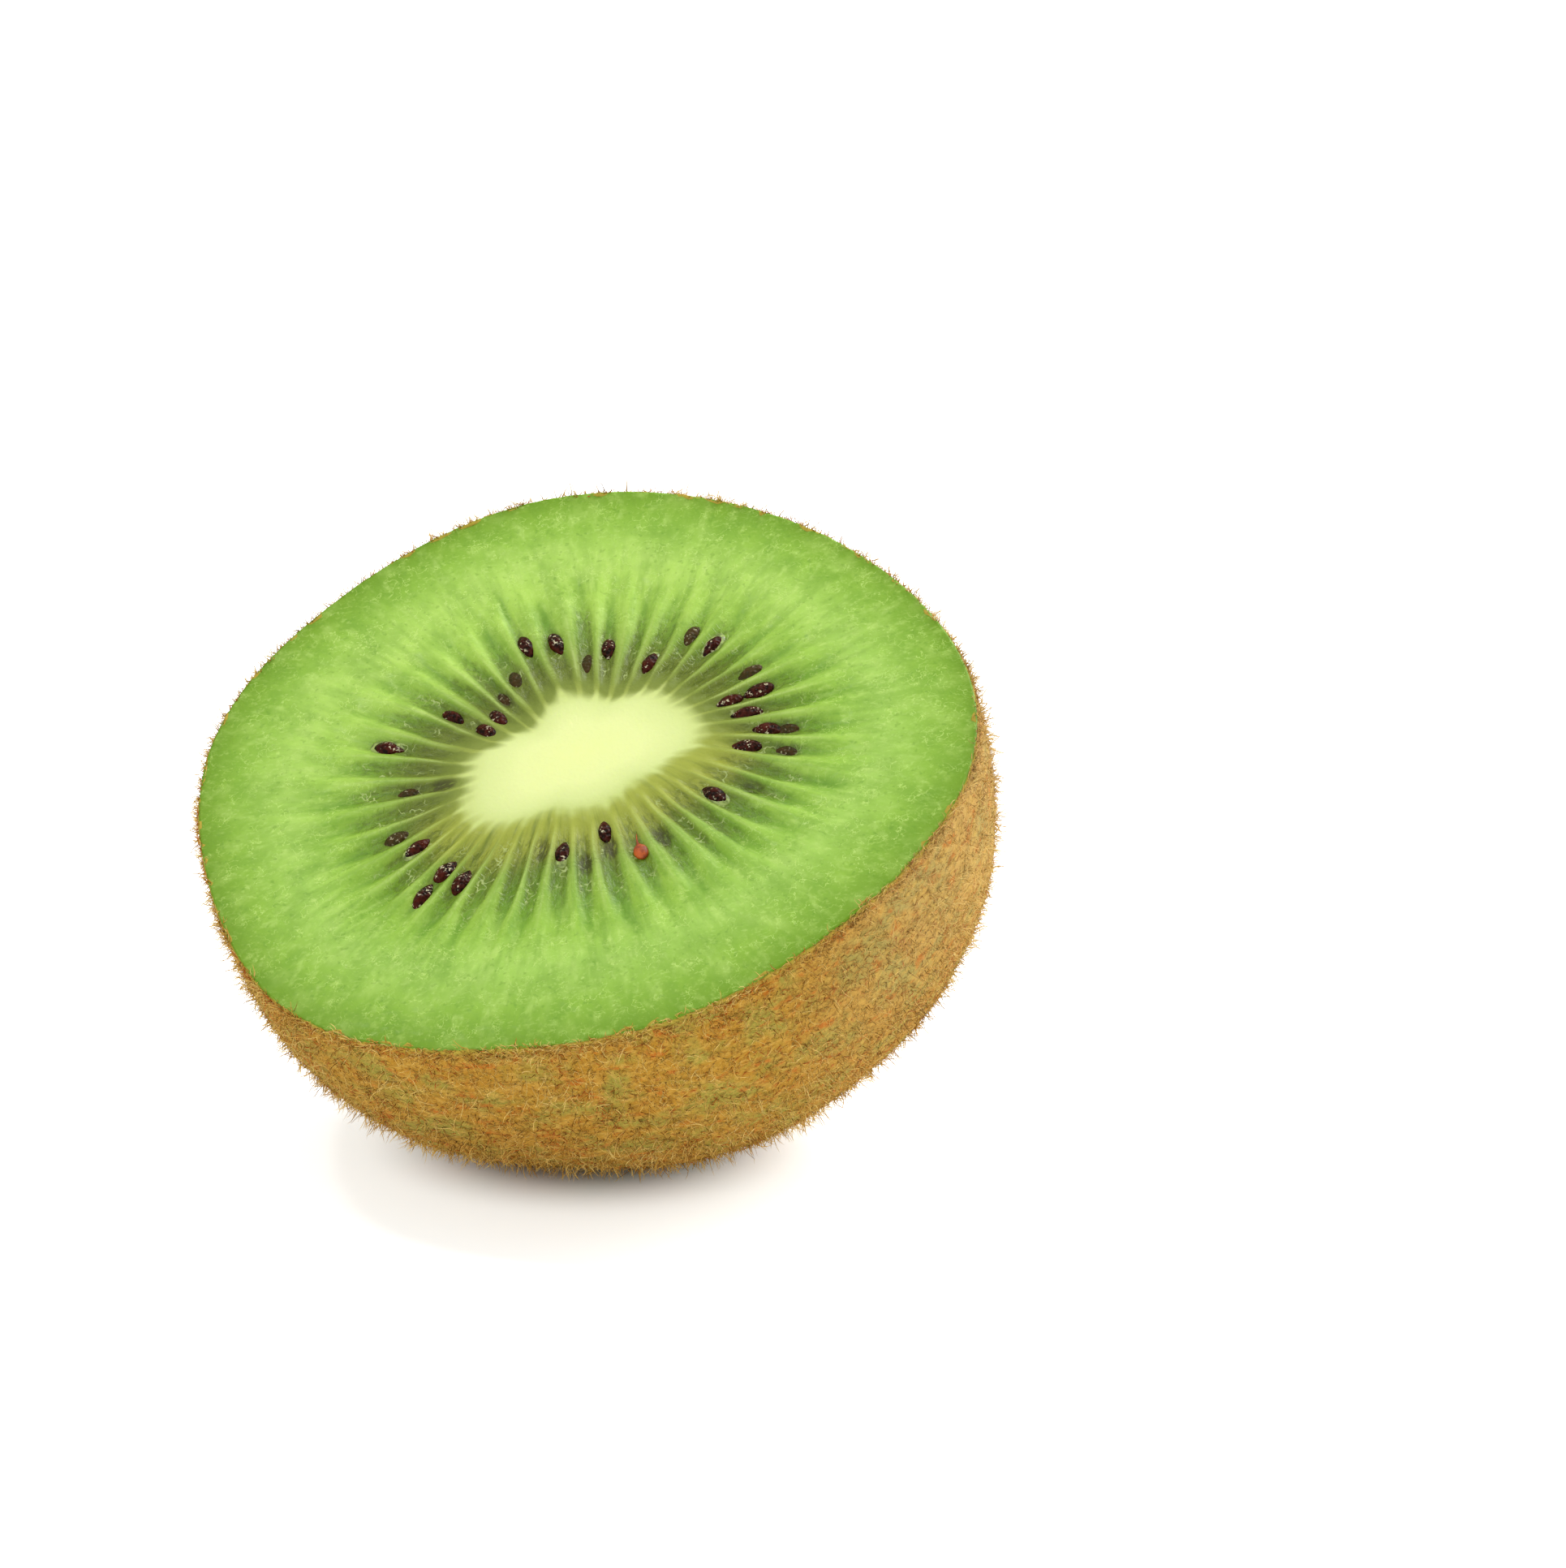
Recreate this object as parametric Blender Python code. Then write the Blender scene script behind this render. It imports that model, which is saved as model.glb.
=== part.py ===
"""Half a kiwi fruit, cut crosswise, lying tilted on its rounded end.

The half is one solid: a rounded end in skin, a cut face with a low core, rays
and locules in relief, and the small seeds that lie in the locules, fused on.
It is shaped with its cut face level and its middle at the origin, and is then
turned into the tilt at which it lies, on a small flat spot at z = 0.
Lengths are in metres and turns in degrees.
"""

import math
import random

import bmesh
import bpy
from mathutils import Matrix, Vector, noise

MM = 0.001

# The whole half
FACE_LENGTH = 55.0 * MM
FACE_WIDTH = 51.2 * MM
END_DEPTH = 30.9 * MM

# Uneven outline of the cut face: lobes round it, swell as a share, turn of the first lobe
OUTLINE_LOBES = ((2, 0.024, 121.0), (3, 0.022, -27.5), (4, 0.0085, -26.7), (5, 0.0085, -7.4), (6, 0.008, 29.6))

# Fullness of the rounded end at each turn: 2 is an ellipse, and a larger figure is boxier
END_FULLNESS = ((48.0, 2.2), (138.0, 3.0), (228.0, 1.95), (318.0, 2.6))
END_LUMP = 0.13 * MM
END_LUMP_SPACING = 11.0 * MM

# Blossom end, at the middle of the rounded end: a low knob with a pit
KNOB_HEIGHT = 0.7 * MM
KNOB_FOOT = 4.6 * MM
KNOB_TOP = 2.2 * MM
PIT_DEPTH = 0.4 * MM
PIT_RADIUS = 1.5 * MM

# Core: its middle, and how far it reaches at each turn, from corner to hollow side
CORE_MIDDLE = Vector((0.6, 0.6, 0.0)) * MM
CORE_REACH = (
    (22.0, 7.6 * MM),
    (52.0, 5.5 * MM),
    (84.0, 6.1 * MM),
    (120.0, 5.0 * MM),
    (157.0, 8.2 * MM),
    (192.0, 9.1 * MM),
    (236.0, 5.1 * MM),
    (300.0, 5.2 * MM),
    (347.0, 8.9 * MM),
)
CORE_SQUASH = 0.66
CORE_RISE = 0.22 * MM

# Rays run from the core to the rim, and the locules lie between them
RAYS = 41
RAY_SWAY = ((1, 2.3, 179.0), (2, 2.1, 92.0), (3, 1.6, 172.0), (4, 1.0, 74.0))
RAY_END = 0.66
LOCULE_DEPTH = 0.26 * MM
FLESH_SWELL = 0.10 * MM
SKIN_LIP = 0.12 * MM

# Seeds: the locule each lies in, counted by its ray, and its distance beyond the core
SEEDS = {
    0: (2.4, 4.6),
    1: (5.1,),
    3: (5.2,),
    4: (5.5,),
    5: (2.9,),
    7: (4.7,),
    8: (3.0,),
    9: (5.4,),
    10: (6.3,),
    11: (4.3,),
    13: (2.3,),
    14: (1.2, 4.5),
    16: (6.3,),
    20: (4.9,),
    21: (3.9,),
    23: (4.3, 6.8),
    24: (5.1,),
    28: (3.6,),
    30: (2.2,),
    31: (5.1,),
    35: (4.1,),
    38: (3.0,),
    39: (4.2,),
    40: (3.0,),
}
SEED_LENGTH = 2.25 * MM
SEED_WIDTH = 1.3 * MM
SEED_THICKNESS = 1.0 * MM
SEED_SINK = 0.12 * MM
SEED_POINT = 0.45
SEED_SPREAD = 0.08
SEED_YAW = 9.0
RANDOM_SEED = 11

# How the half lies: lean of the face from level, turn of that lean, turn of the face in its plane
FACE_LEAN = 32.5
LEAN_TURN = -23.3
FACE_SPIN = 36.6
FACE_MIDDLE = Vector((-0.5, -4.4, 28.9)) * MM

# Mesh: columns between two rays, rings on the end by angle, and on the face by share
COLUMNS_PER_RAY = 3
END_RINGS = 10
END_RING_STEP = 7.2
KNOB_RINGS = (76.0, 80.0, 83.0, 85.5, 87.5)
CORE_RINGS = (0.36, 0.7, 0.92)
FLESH_RINGS = (0.0, 0.04, 0.09, 0.15, 0.22, 0.3, 0.39, 0.49, 0.6, 0.74, 0.88, 0.965)
SEED_SEGMENTS = 6
SEED_RINGS = 4

SKIN, FLESH, CORE, SEED = range(4)


def new_material(name, colour, roughness):
    """A plain Principled material."""
    material = bpy.data.materials.new(name)
    material.use_nodes = True
    shader = material.node_tree.nodes["Principled BSDF"]
    shader.inputs["Base Color"].default_value = (*colour, 1.0)
    shader.inputs["Roughness"].default_value = roughness
    shader.inputs["Metallic"].default_value = 0.0
    material.diffuse_color = (*colour, 1.0)
    return material


def ease(low, high, value):
    """0 below low, 1 above high, and a smooth step between."""
    share = min(1.0, max(0.0, (value - low) / (high - low)))
    return share * share * (3.0 - 2.0 * share)


def lobes(table, turn):
    """Sum of the waves round the fruit at a turn in radians."""
    return sum(swell * math.cos(count * (turn - math.radians(at))) for count, swell, at in table)


def rim_radius(turn):
    """Distance from the middle of the face to its rim."""
    ellipse = math.hypot(math.cos(turn) / (FACE_LENGTH / 2), math.sin(turn) / (FACE_WIDTH / 2))
    return (1.0 + lobes(OUTLINE_LOBES, turn)) / ellipse


def eased_round(table, turn):
    """A figure at a turn in radians, eased from one named figure round the fruit to the next."""
    degrees = math.degrees(turn) % 360.0
    ahead = next((i for i, (at, _) in enumerate(table) if at > degrees), 0)
    start, near = table[ahead - 1]
    end, far = table[ahead]
    gone = (degrees - start) % 360.0
    return near + (far - near) * ease(0.0, (end - start) % 360.0, gone)


def ray_turn(number):
    """Turn of a ray, in radians. A half number is the middle of a locule."""
    evenly = 360.0 * number / RAYS
    sway = sum(
        reach * math.cos(math.radians(count * evenly - phase)) for count, reach, phase in RAY_SWAY
    )
    return math.radians(evenly + sway)


def core_edge(turn):
    """The point on the core's edge from which the ray at a turn leaves."""
    bearing = math.atan2(CORE_SQUASH * math.sin(turn), math.cos(turn))
    reach = eased_round(CORE_REACH, bearing)
    return CORE_MIDDLE + Vector((math.cos(bearing), math.sin(bearing), 0.0)) * reach


def rim_point(turn):
    """The point on the rim where the ray at a turn ends."""
    return Vector((math.cos(turn), math.sin(turn), 0.0)) * rim_radius(turn)


def flesh_height(share, locule):
    """Height of the face between core (share 0) and rim (share 1), locule from 0 on a ray to 1."""
    reach = ease(0.02, 0.12, share) * (1.0 - ease(0.42, RAY_END, share))
    swell = FLESH_SWELL * ease(0.5, 0.75, share) * (1.0 - ease(0.85, 1.0, share))
    lip = SKIN_LIP * ease(0.9, 0.965, share) * (1.0 - ease(0.97, 1.0, share))
    foot = CORE_RISE * 0.4 * (1.0 - ease(0.0, 0.1, share))
    return foot + swell - lip - LOCULE_DEPTH * reach * locule


def face_point(turn, share, locule):
    """A point of the cut face beyond the core."""
    inner = core_edge(turn)
    place = inner + (rim_point(turn) - inner) * share
    place.z = flesh_height(share, locule)
    return place


def core_point(turn, share):
    """A point of the core's top, share 0 at its middle and 1 at its edge."""
    place = CORE_MIDDLE + (core_edge(turn) - CORE_MIDDLE) * share
    place.z = CORE_RISE * (1.0 - 0.6 * share**4)
    return place


def knob(radius):
    """Height of the blossom end over the even curve, by distance from its middle."""
    rise = KNOB_HEIGHT * (1.0 - ease(KNOB_TOP, KNOB_FOOT, radius))
    return rise - PIT_DEPTH * (1.0 - ease(0.0, PIT_RADIUS, radius))


def end_point(turn, angle):
    """A point of the rounded end, at an angle of 0 on the rim and 90 degrees at its middle."""
    depth = math.sin(angle)
    spread = math.sqrt(max(0.0, 1.0 - depth ** eased_round(END_FULLNESS, turn)))
    place = rim_point(turn) * spread
    drop = END_DEPTH * depth + knob(place.length)
    place.z = -drop
    lump = END_LUMP * ease(0.0, math.radians(25.0), angle) * noise.noise(place / END_LUMP_SPACING)
    return place + place.normalized() * lump


def ring_point(ring, turn, locule):
    """The place of a vertex of the sphere, by its ring from the middle of the face downwards."""
    if ring == 0:
        return core_point(turn, 0.0)
    if ring <= len(CORE_RINGS):
        return core_point(turn, CORE_RINGS[ring - 1])
    ring -= len(CORE_RINGS) + 1
    if ring < len(FLESH_RINGS):
        return face_point(turn, FLESH_RINGS[ring], locule)
    ring -= len(FLESH_RINGS)
    if ring <= END_RINGS:
        return end_point(turn, math.radians(ring * END_RING_STEP))
    ring -= END_RINGS + 1
    if ring < len(KNOB_RINGS):
        return end_point(turn, math.radians(KNOB_RINGS[ring]))
    return end_point(turn, math.radians(90.0))


def ring_material(ring):
    """The material inside a ring, counted from the middle of the face downwards."""
    core_edge_ring = len(CORE_RINGS) + 1
    rim_ring = core_edge_ring + len(FLESH_RINGS)
    if ring <= core_edge_ring:
        return CORE
    if ring <= rim_ring:
        return FLESH
    return SKIN


def add_fruit(collection):
    """The half without its seeds: a sphere whose upper rings are laid flat as the cut face."""
    columns = RAYS * COLUMNS_PER_RAY
    rings = 1 + len(CORE_RINGS) + len(FLESH_RINGS) + END_RINGS + len(KNOB_RINGS) + 1
    shape = bmesh.new()
    bmesh.ops.create_uvsphere(shape, u_segments=columns, v_segments=rings, radius=1.0)
    ring_of = {}
    for vertex in shape.verts:
        ring = round(math.acos(max(-1.0, min(1.0, vertex.co.z))) / math.pi * rings)
        column = round(math.atan2(vertex.co.y, vertex.co.x) / (2.0 * math.pi) * columns)
        locule = 0.0 if column % COLUMNS_PER_RAY == 0 else 1.0
        vertex.co = ring_point(ring, ray_turn(column / COLUMNS_PER_RAY), locule)
        ring_of[vertex] = ring
    for face in shape.faces:
        face.material_index = ring_material(max(ring_of[vertex] for vertex in face.verts))
        face.smooth = True
    mesh = bpy.data.meshes.new("kiwi_half")
    shape.to_mesh(mesh)
    shape.free()
    fruit = bpy.data.objects.new("kiwi_half", mesh)
    collection.objects.link(fruit)
    return fruit


def add_seed(collection, materials, turn, share, draw):
    """One seed, its point towards the core, half sunk in its locule."""
    shape = bmesh.new()
    bmesh.ops.create_uvsphere(shape, u_segments=SEED_SEGMENTS, v_segments=SEED_RINGS, radius=1.0)
    lie = Matrix.Rotation(math.radians(90.0), 4, "Y")
    bmesh.ops.transform(shape, matrix=lie, verts=shape.verts)
    half = 0.5 * (1.0 + draw.uniform(-SEED_SPREAD, SEED_SPREAD))
    for vertex in shape.verts:
        slim = 1.0 - SEED_POINT * max(0.0, -vertex.co.x)
        vertex.co.x *= SEED_LENGTH * half
        vertex.co.y *= SEED_WIDTH * slim * half
        vertex.co.z *= SEED_THICKNESS * slim * half
    mesh = bpy.data.meshes.new("seed")
    for material in materials:
        mesh.materials.append(material)
    for face in shape.faces:
        face.material_index = SEED
        face.smooth = True
    shape.to_mesh(mesh)
    shape.free()
    seed = bpy.data.objects.new("seed", mesh)
    place = face_point(turn, share, 1.0)
    place.z -= SEED_SINK
    away = place - core_edge(turn)
    seed.location = place
    seed.rotation_euler.z = math.atan2(away.y, away.x) + math.radians(draw.uniform(-SEED_YAW, SEED_YAW))
    collection.objects.link(seed)
    return seed


def apply_modifiers(thing):
    """Replace the object's mesh with its evaluated one."""
    bpy.context.view_layer.update()
    reading = bpy.context.evaluated_depsgraph_get()
    mesh = bpy.data.meshes.new_from_object(thing.evaluated_get(reading))
    thing.modifiers.clear()
    thing.data = mesh


def fuse_seeds(fruit, toppings, materials):
    """Lay the seeds in their locules, and join them to the fruit by one union."""
    draw = random.Random(RANDOM_SEED)
    for locule, distances in SEEDS.items():
        turn = ray_turn(locule + 0.5)
        run = (rim_point(turn) - core_edge(turn)).length
        for distance in distances:
            add_seed(toppings, materials, turn, distance * MM / run, draw)
    union = fruit.modifiers.new("seeds", "BOOLEAN")
    union.operation = "UNION"
    union.operand_type = "COLLECTION"
    union.collection = toppings
    union.solver = "EXACT"
    apply_modifiers(fruit)
    for seed in list(toppings.objects):
        bpy.data.objects.remove(seed)
    bpy.data.collections.remove(toppings)


def lay_down(fruit):
    """Turn the fruit from a level face at the origin into the tilt at which it lies."""
    turn = Matrix.Rotation(math.radians(LEAN_TURN), 4, "Z")
    lean = Matrix.Rotation(math.radians(FACE_LEAN), 4, "X")
    spin = Matrix.Rotation(math.radians(FACE_SPIN), 4, "Z")
    fruit.data.transform(Matrix.Translation(FACE_MIDDLE) @ turn @ lean @ spin)


def cut_flat_spot(fruit, cutters):
    """Take off what lies below z = 0, which leaves the small flat spot."""
    size = 2.0 * FACE_LENGTH
    shape = bmesh.new()
    bmesh.ops.create_cube(shape, size=size)
    mesh = bpy.data.meshes.new("ground_cutter")
    shape.to_mesh(mesh)
    shape.free()
    cutter = bpy.data.objects.new("ground_cutter", mesh)
    cutter.location.z = -size / 2
    cutter.hide_render = True
    cutter.display_type = "WIRE"
    cutters.objects.link(cutter)
    cut = fruit.modifiers.new("flat_spot", "BOOLEAN")
    cut.operation = "DIFFERENCE"
    cut.object = cutter
    cut.solver = "EXACT"


def main():
    for thing in list(bpy.data.objects):
        bpy.data.objects.remove(thing)
    scene = bpy.context.scene
    parts = bpy.data.collections.new("kiwi_fruit_half")
    toppings = bpy.data.collections.new("seeds")
    cutters = bpy.data.collections.new("cutters")
    for collection in (parts, toppings, cutters):
        scene.collection.children.link(collection)
    materials = [
        new_material("skin", (0.33, 0.21, 0.085), 0.85),
        new_material("flesh", (0.30, 0.52, 0.06), 0.3),
        new_material("core", (0.86, 0.90, 0.45), 0.45),
        new_material("seed", (0.02, 0.008, 0.006), 0.25),
    ]
    fruit = add_fruit(parts)
    for material in materials:
        fruit.data.materials.append(material)
    fuse_seeds(fruit, toppings, materials)
    lay_down(fruit)
    cut_flat_spot(fruit, cutters)


main()
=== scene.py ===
"""Looks of half a kiwi fruit: the moist cut face, its seeds, the skin and the short hairs on it.

The fruit is shaped level, with the middle of its cut face at the origin, and is then
laid down in the tilt at which it rests. Lengths are in metres and turns in degrees.
"""

import logging
import math
import random
from collections.abc import Sequence
from dataclasses import dataclass, field
from enum import Enum

import bpy
import numpy as np
from mathutils import Matrix, Vector, noise


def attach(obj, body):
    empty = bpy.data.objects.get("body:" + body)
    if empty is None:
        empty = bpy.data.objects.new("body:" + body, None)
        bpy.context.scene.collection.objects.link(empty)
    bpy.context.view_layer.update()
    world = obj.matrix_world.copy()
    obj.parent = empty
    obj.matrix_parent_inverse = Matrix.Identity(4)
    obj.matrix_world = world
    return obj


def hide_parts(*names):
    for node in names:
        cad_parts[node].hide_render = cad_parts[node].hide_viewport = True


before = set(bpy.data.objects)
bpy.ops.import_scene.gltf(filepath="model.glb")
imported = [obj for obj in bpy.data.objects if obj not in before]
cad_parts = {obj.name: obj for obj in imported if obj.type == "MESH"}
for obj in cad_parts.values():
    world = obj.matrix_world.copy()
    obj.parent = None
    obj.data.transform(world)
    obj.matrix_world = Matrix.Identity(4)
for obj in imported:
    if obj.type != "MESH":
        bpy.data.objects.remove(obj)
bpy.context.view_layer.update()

MM = 0.001
log = logging.getLogger("kiwi_half")

Points = np.ndarray
Colour = tuple[int, int, int]
Table = tuple[tuple[float, float], ...]


class Slot(Enum):
    """The record's material slots."""

    FLESH = "flesh"
    CORE = "core"
    SKIN = "skin"
    SEEDS = "seeds"
    FUZZ = "fuzz"


class Where(Enum):
    """The part of the skin that a kind of hair grows on."""

    ALL_OVER = "all over"
    RIM = "rim"
    FOOT = "foot"


def ease(low: float | Points, high: float | Points, value: float | Points) -> Points:
    """A smooth step.

    Args:
        low: Value up to which the step is 0.
        high: Value from which the step is 1.
        value: What is tested.

    Returns:
        The step at each value, from 0 to 1.
    """
    share = np.clip((value - low) / (high - low), 0.0, 1.0)
    return share * share * (3.0 - 2.0 * share)


def linear(colour: Colour) -> tuple[float, float, float, float]:
    """A colour as the shaders take it.

    Args:
        colour: Red, green and blue as on a screen, from 0 to 255.

    Returns:
        The same colour in linear light, with full opacity.
    """
    parts = [c / 255.0 for c in colour]
    return (*(c / 12.92 if c <= 0.04045 else ((c + 0.055) / 1.055) ** 2.4 for c in parts), 1.0)


def moved(points: Points, move: Matrix) -> Points:
    """Points taken through a move.

    Args:
        points: Places, one row of three numbers each.
        move: The move, with four rows.

    Returns:
        The places after the move.
    """
    rows = np.array(move)
    return points @ rows[:3, :3].T + rows[:3, 3]


@dataclass(frozen=True)
class Grain:
    """Smooth noise over points, from -1 to 1, the same on each run."""

    seed: int

    def at(self, points: Points) -> Points:
        """The noise at points whose cells are 1 wide.

        Args:
            points: Places, one row of three numbers each.

        Returns:
            One number for each point.
        """
        cell = np.floor(points).astype(np.int64)
        part = points - cell
        part = part * part * (3.0 - 2.0 * part)
        total = np.zeros(len(points))
        for corner in np.ndindex(2, 2, 2):
            weight = np.prod(np.where(corner, part, 1.0 - part), axis=1)
            total += weight * self._value(cell + corner)
        return total

    def _value(self, cell: Points) -> Points:
        """A fixed random number from -1 to 1 for each cell."""
        mixed = (cell * (73856093, 19349663, 83492791)).sum(axis=1) + self.seed * 7919
        mixed = (mixed ^ (mixed >> 15)) * 2246822519 & 0xFFFFFFFF
        mixed = (mixed ^ (mixed >> 13)) * 3266489917 & 0xFFFFFFFF
        return (mixed ^ (mixed >> 16)) / 0x7FFFFFFF - 1.0


@dataclass(frozen=True)
class FruitShape:
    """The fruit's form, from the same driving dimensions as the frame's solid."""

    face_length: float = 55.0 * MM
    face_width: float = 51.2 * MM
    end_depth: float = 30.9 * MM
    outline_lobes: tuple[tuple[int, float, float], ...] = (
        (2, 0.024, 121.0), (3, 0.022, -27.5), (4, 0.0085, -26.7), (5, 0.0085, -7.4), (6, 0.008, 29.6),
    )
    end_fullness: Table = ((48.0, 2.2), (138.0, 3.0), (228.0, 1.95), (318.0, 2.6))
    end_lump: float = 0.13 * MM
    end_lump_spacing: float = 11.0 * MM
    knob_height: float = 0.7 * MM
    knob_foot: float = 4.6 * MM
    knob_top: float = 2.2 * MM
    pit_depth: float = 0.4 * MM
    pit_radius: float = 1.5 * MM
    core_middle: tuple[float, float] = (0.6 * MM, 0.6 * MM)
    core_reach: Table = (
        (22.0, 7.6 * MM), (52.0, 5.5 * MM), (84.0, 6.1 * MM), (120.0, 5.0 * MM), (157.0, 8.2 * MM),
        (192.0, 9.1 * MM), (236.0, 5.1 * MM), (300.0, 5.2 * MM), (347.0, 8.9 * MM),
    )
    core_squash: float = 0.66
    core_rise: float = 0.22 * MM
    rays: int = 41
    ray_sway: tuple[tuple[int, float, float], ...] = (
        (1, 2.3, 179.0), (2, 2.1, 92.0), (3, 1.6, 172.0), (4, 1.0, 74.0),
    )
    ray_end: float = 0.66
    locule_depth: float = 0.26 * MM
    flesh_swell: float = 0.10 * MM
    skin_lip: float = 0.12 * MM
    face_lean: float = 32.5
    lean_turn: float = -23.3
    face_spin: float = 36.6
    face_middle: tuple[float, float, float] = (-0.5 * MM, -4.4 * MM, 28.9 * MM)
    # Where the skin and its hairs are painted paler, as if lit: near the cut, on the side of +X.
    painted_light_depth: tuple[float, float] = (4.0 * MM, 22.0 * MM)
    painted_light_side: tuple[float, float] = (12.0 * MM, 25.0 * MM)

    def rim_radius(self, turn: Points) -> Points:
        """Distance from the middle of the face to its rim, at turns in radians."""
        ellipse = np.hypot(np.cos(turn) / (self.face_length / 2), np.sin(turn) / (self.face_width / 2))
        lobes = sum(
            swell * np.cos(count * (turn - math.radians(at))) for count, swell, at in self.outline_lobes
        )
        return (1.0 + lobes) / ellipse

    @staticmethod
    def eased_round(table: Table, turn: Points) -> Points:
        """A figure eased from one named figure round the fruit to the next.

        Args:
            table: Turns in degrees, rising, with the figure at each.
            turn: Turns in radians.

        Returns:
            The figure at each turn.
        """
        ats = np.array([at for at, _ in table])
        figures = np.array([figure for _, figure in table])
        degrees = np.degrees(turn) % 360.0
        ahead = np.searchsorted(ats, degrees, side="right") % len(ats)
        span = (ats[ahead] - ats[ahead - 1]) % 360.0
        gone = (degrees - ats[ahead - 1]) % 360.0
        return figures[ahead - 1] + (figures[ahead] - figures[ahead - 1]) * ease(0.0, span, gone)

    def ray_turn(self, number: Points) -> Points:
        """Turns of rays in radians, by number. A half number is the middle of a locule."""
        evenly = 360.0 * np.asarray(number) / self.rays
        sway = sum(
            reach * np.cos(np.radians(count * evenly - phase)) for count, reach, phase in self.ray_sway
        )
        return np.radians(evenly + sway)

    def core_edge(self, turn: Points) -> Points:
        """The points on the core's edge, as rows of x and y, from which the rays at turns leave."""
        bearing = np.arctan2(self.core_squash * np.sin(turn), np.cos(turn))
        reach = self.eased_round(self.core_reach, bearing)
        return np.stack([np.cos(bearing), np.sin(bearing)], -1) * reach[..., None] + self.core_middle

    def rim_point(self, turn: Points) -> Points:
        """The points on the rim, as rows of x and y, at which the rays at turns end."""
        return np.stack([np.cos(turn), np.sin(turn)], -1) * self.rim_radius(turn)[..., None]

    def flesh_height(self, share: Points, locule: Points) -> Points:
        """Height of the face beyond the core.

        Args:
            share: 0 at the core's edge and 1 at the rim.
            locule: 0 on a ray and 1 in the middle of a locule.

        Returns:
            The heights over the level of the rim.
        """
        reach = ease(0.02, 0.12, share) * (1.0 - ease(0.42, self.ray_end, share))
        swell = self.flesh_swell * ease(0.5, 0.75, share) * (1.0 - ease(0.85, 1.0, share))
        lip = self.skin_lip * ease(0.9, 0.965, share) * (1.0 - ease(0.97, 1.0, share))
        foot = self.core_rise * 0.4 * (1.0 - ease(0.0, 0.1, share))
        return foot + swell - lip - self.locule_depth * reach * locule

    def on_face(self, turn: Points, share: Points) -> Points:
        """Points of the face beyond the core, as rows of x and y."""
        inner = self.core_edge(turn)
        return inner + (self.rim_point(turn) - inner) * np.asarray(share)[..., None]

    def end_surface(self, turn: Points, angle: Points) -> Points:
        """Points of the rounded end.

        Args:
            turn: Turns round the fruit, in radians.
            angle: 0 on the rim and a quarter turn at the middle of the end, in radians.

        Returns:
            The points, one row each.
        """
        depth = np.sin(angle)
        spread = np.sqrt(np.maximum(0.0, 1.0 - depth ** self.eased_round(self.end_fullness, turn)))
        flat = self.rim_point(turn) * spread[:, None]
        radius = np.linalg.norm(flat, axis=1)
        knob = self.knob_height * (1.0 - ease(self.knob_top, self.knob_foot, radius))
        pit = self.pit_depth * (1.0 - ease(0.0, self.pit_radius, radius))
        place = np.column_stack([flat, -(self.end_depth * depth + knob - pit)])
        lump = np.array([noise.noise(Vector(p) / self.end_lump_spacing) for p in place])
        outward = place / np.linalg.norm(place, axis=1)[:, None]
        return place + outward * (self.end_lump * ease(0.0, math.radians(25.0), angle) * lump)[:, None]

    @property
    def laying(self) -> Matrix:
        """The move from the level fruit at the origin to the tilt at which it rests."""
        turn = Matrix.Rotation(math.radians(self.lean_turn), 4, "Z")
        lean = Matrix.Rotation(math.radians(self.face_lean), 4, "X")
        spin = Matrix.Rotation(math.radians(self.face_spin), 4, "Z")
        return Matrix.Translation(self.face_middle) @ turn @ lean @ spin

    def painted_light(self, places: Points) -> Points:
        """How much painted light the skin gets at places where it lies: it is painted paler near the cut, on
        the side of +X, as where more light falls.
        """
        depth = -self.stand_up(places)[:, 2]
        return (1.0 - ease(*self.painted_light_depth, depth)) * ease(*self.painted_light_side, places[:, 0])

    def lay_down(self, points: Points) -> Points:
        """Points of the level fruit, moved to where they lie."""
        return moved(points, self.laying)

    def stand_up(self, places: Points) -> Points:
        """Places where they lie, moved back to the level fruit."""
        return moved(places, self.laying.inverted())


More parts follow.
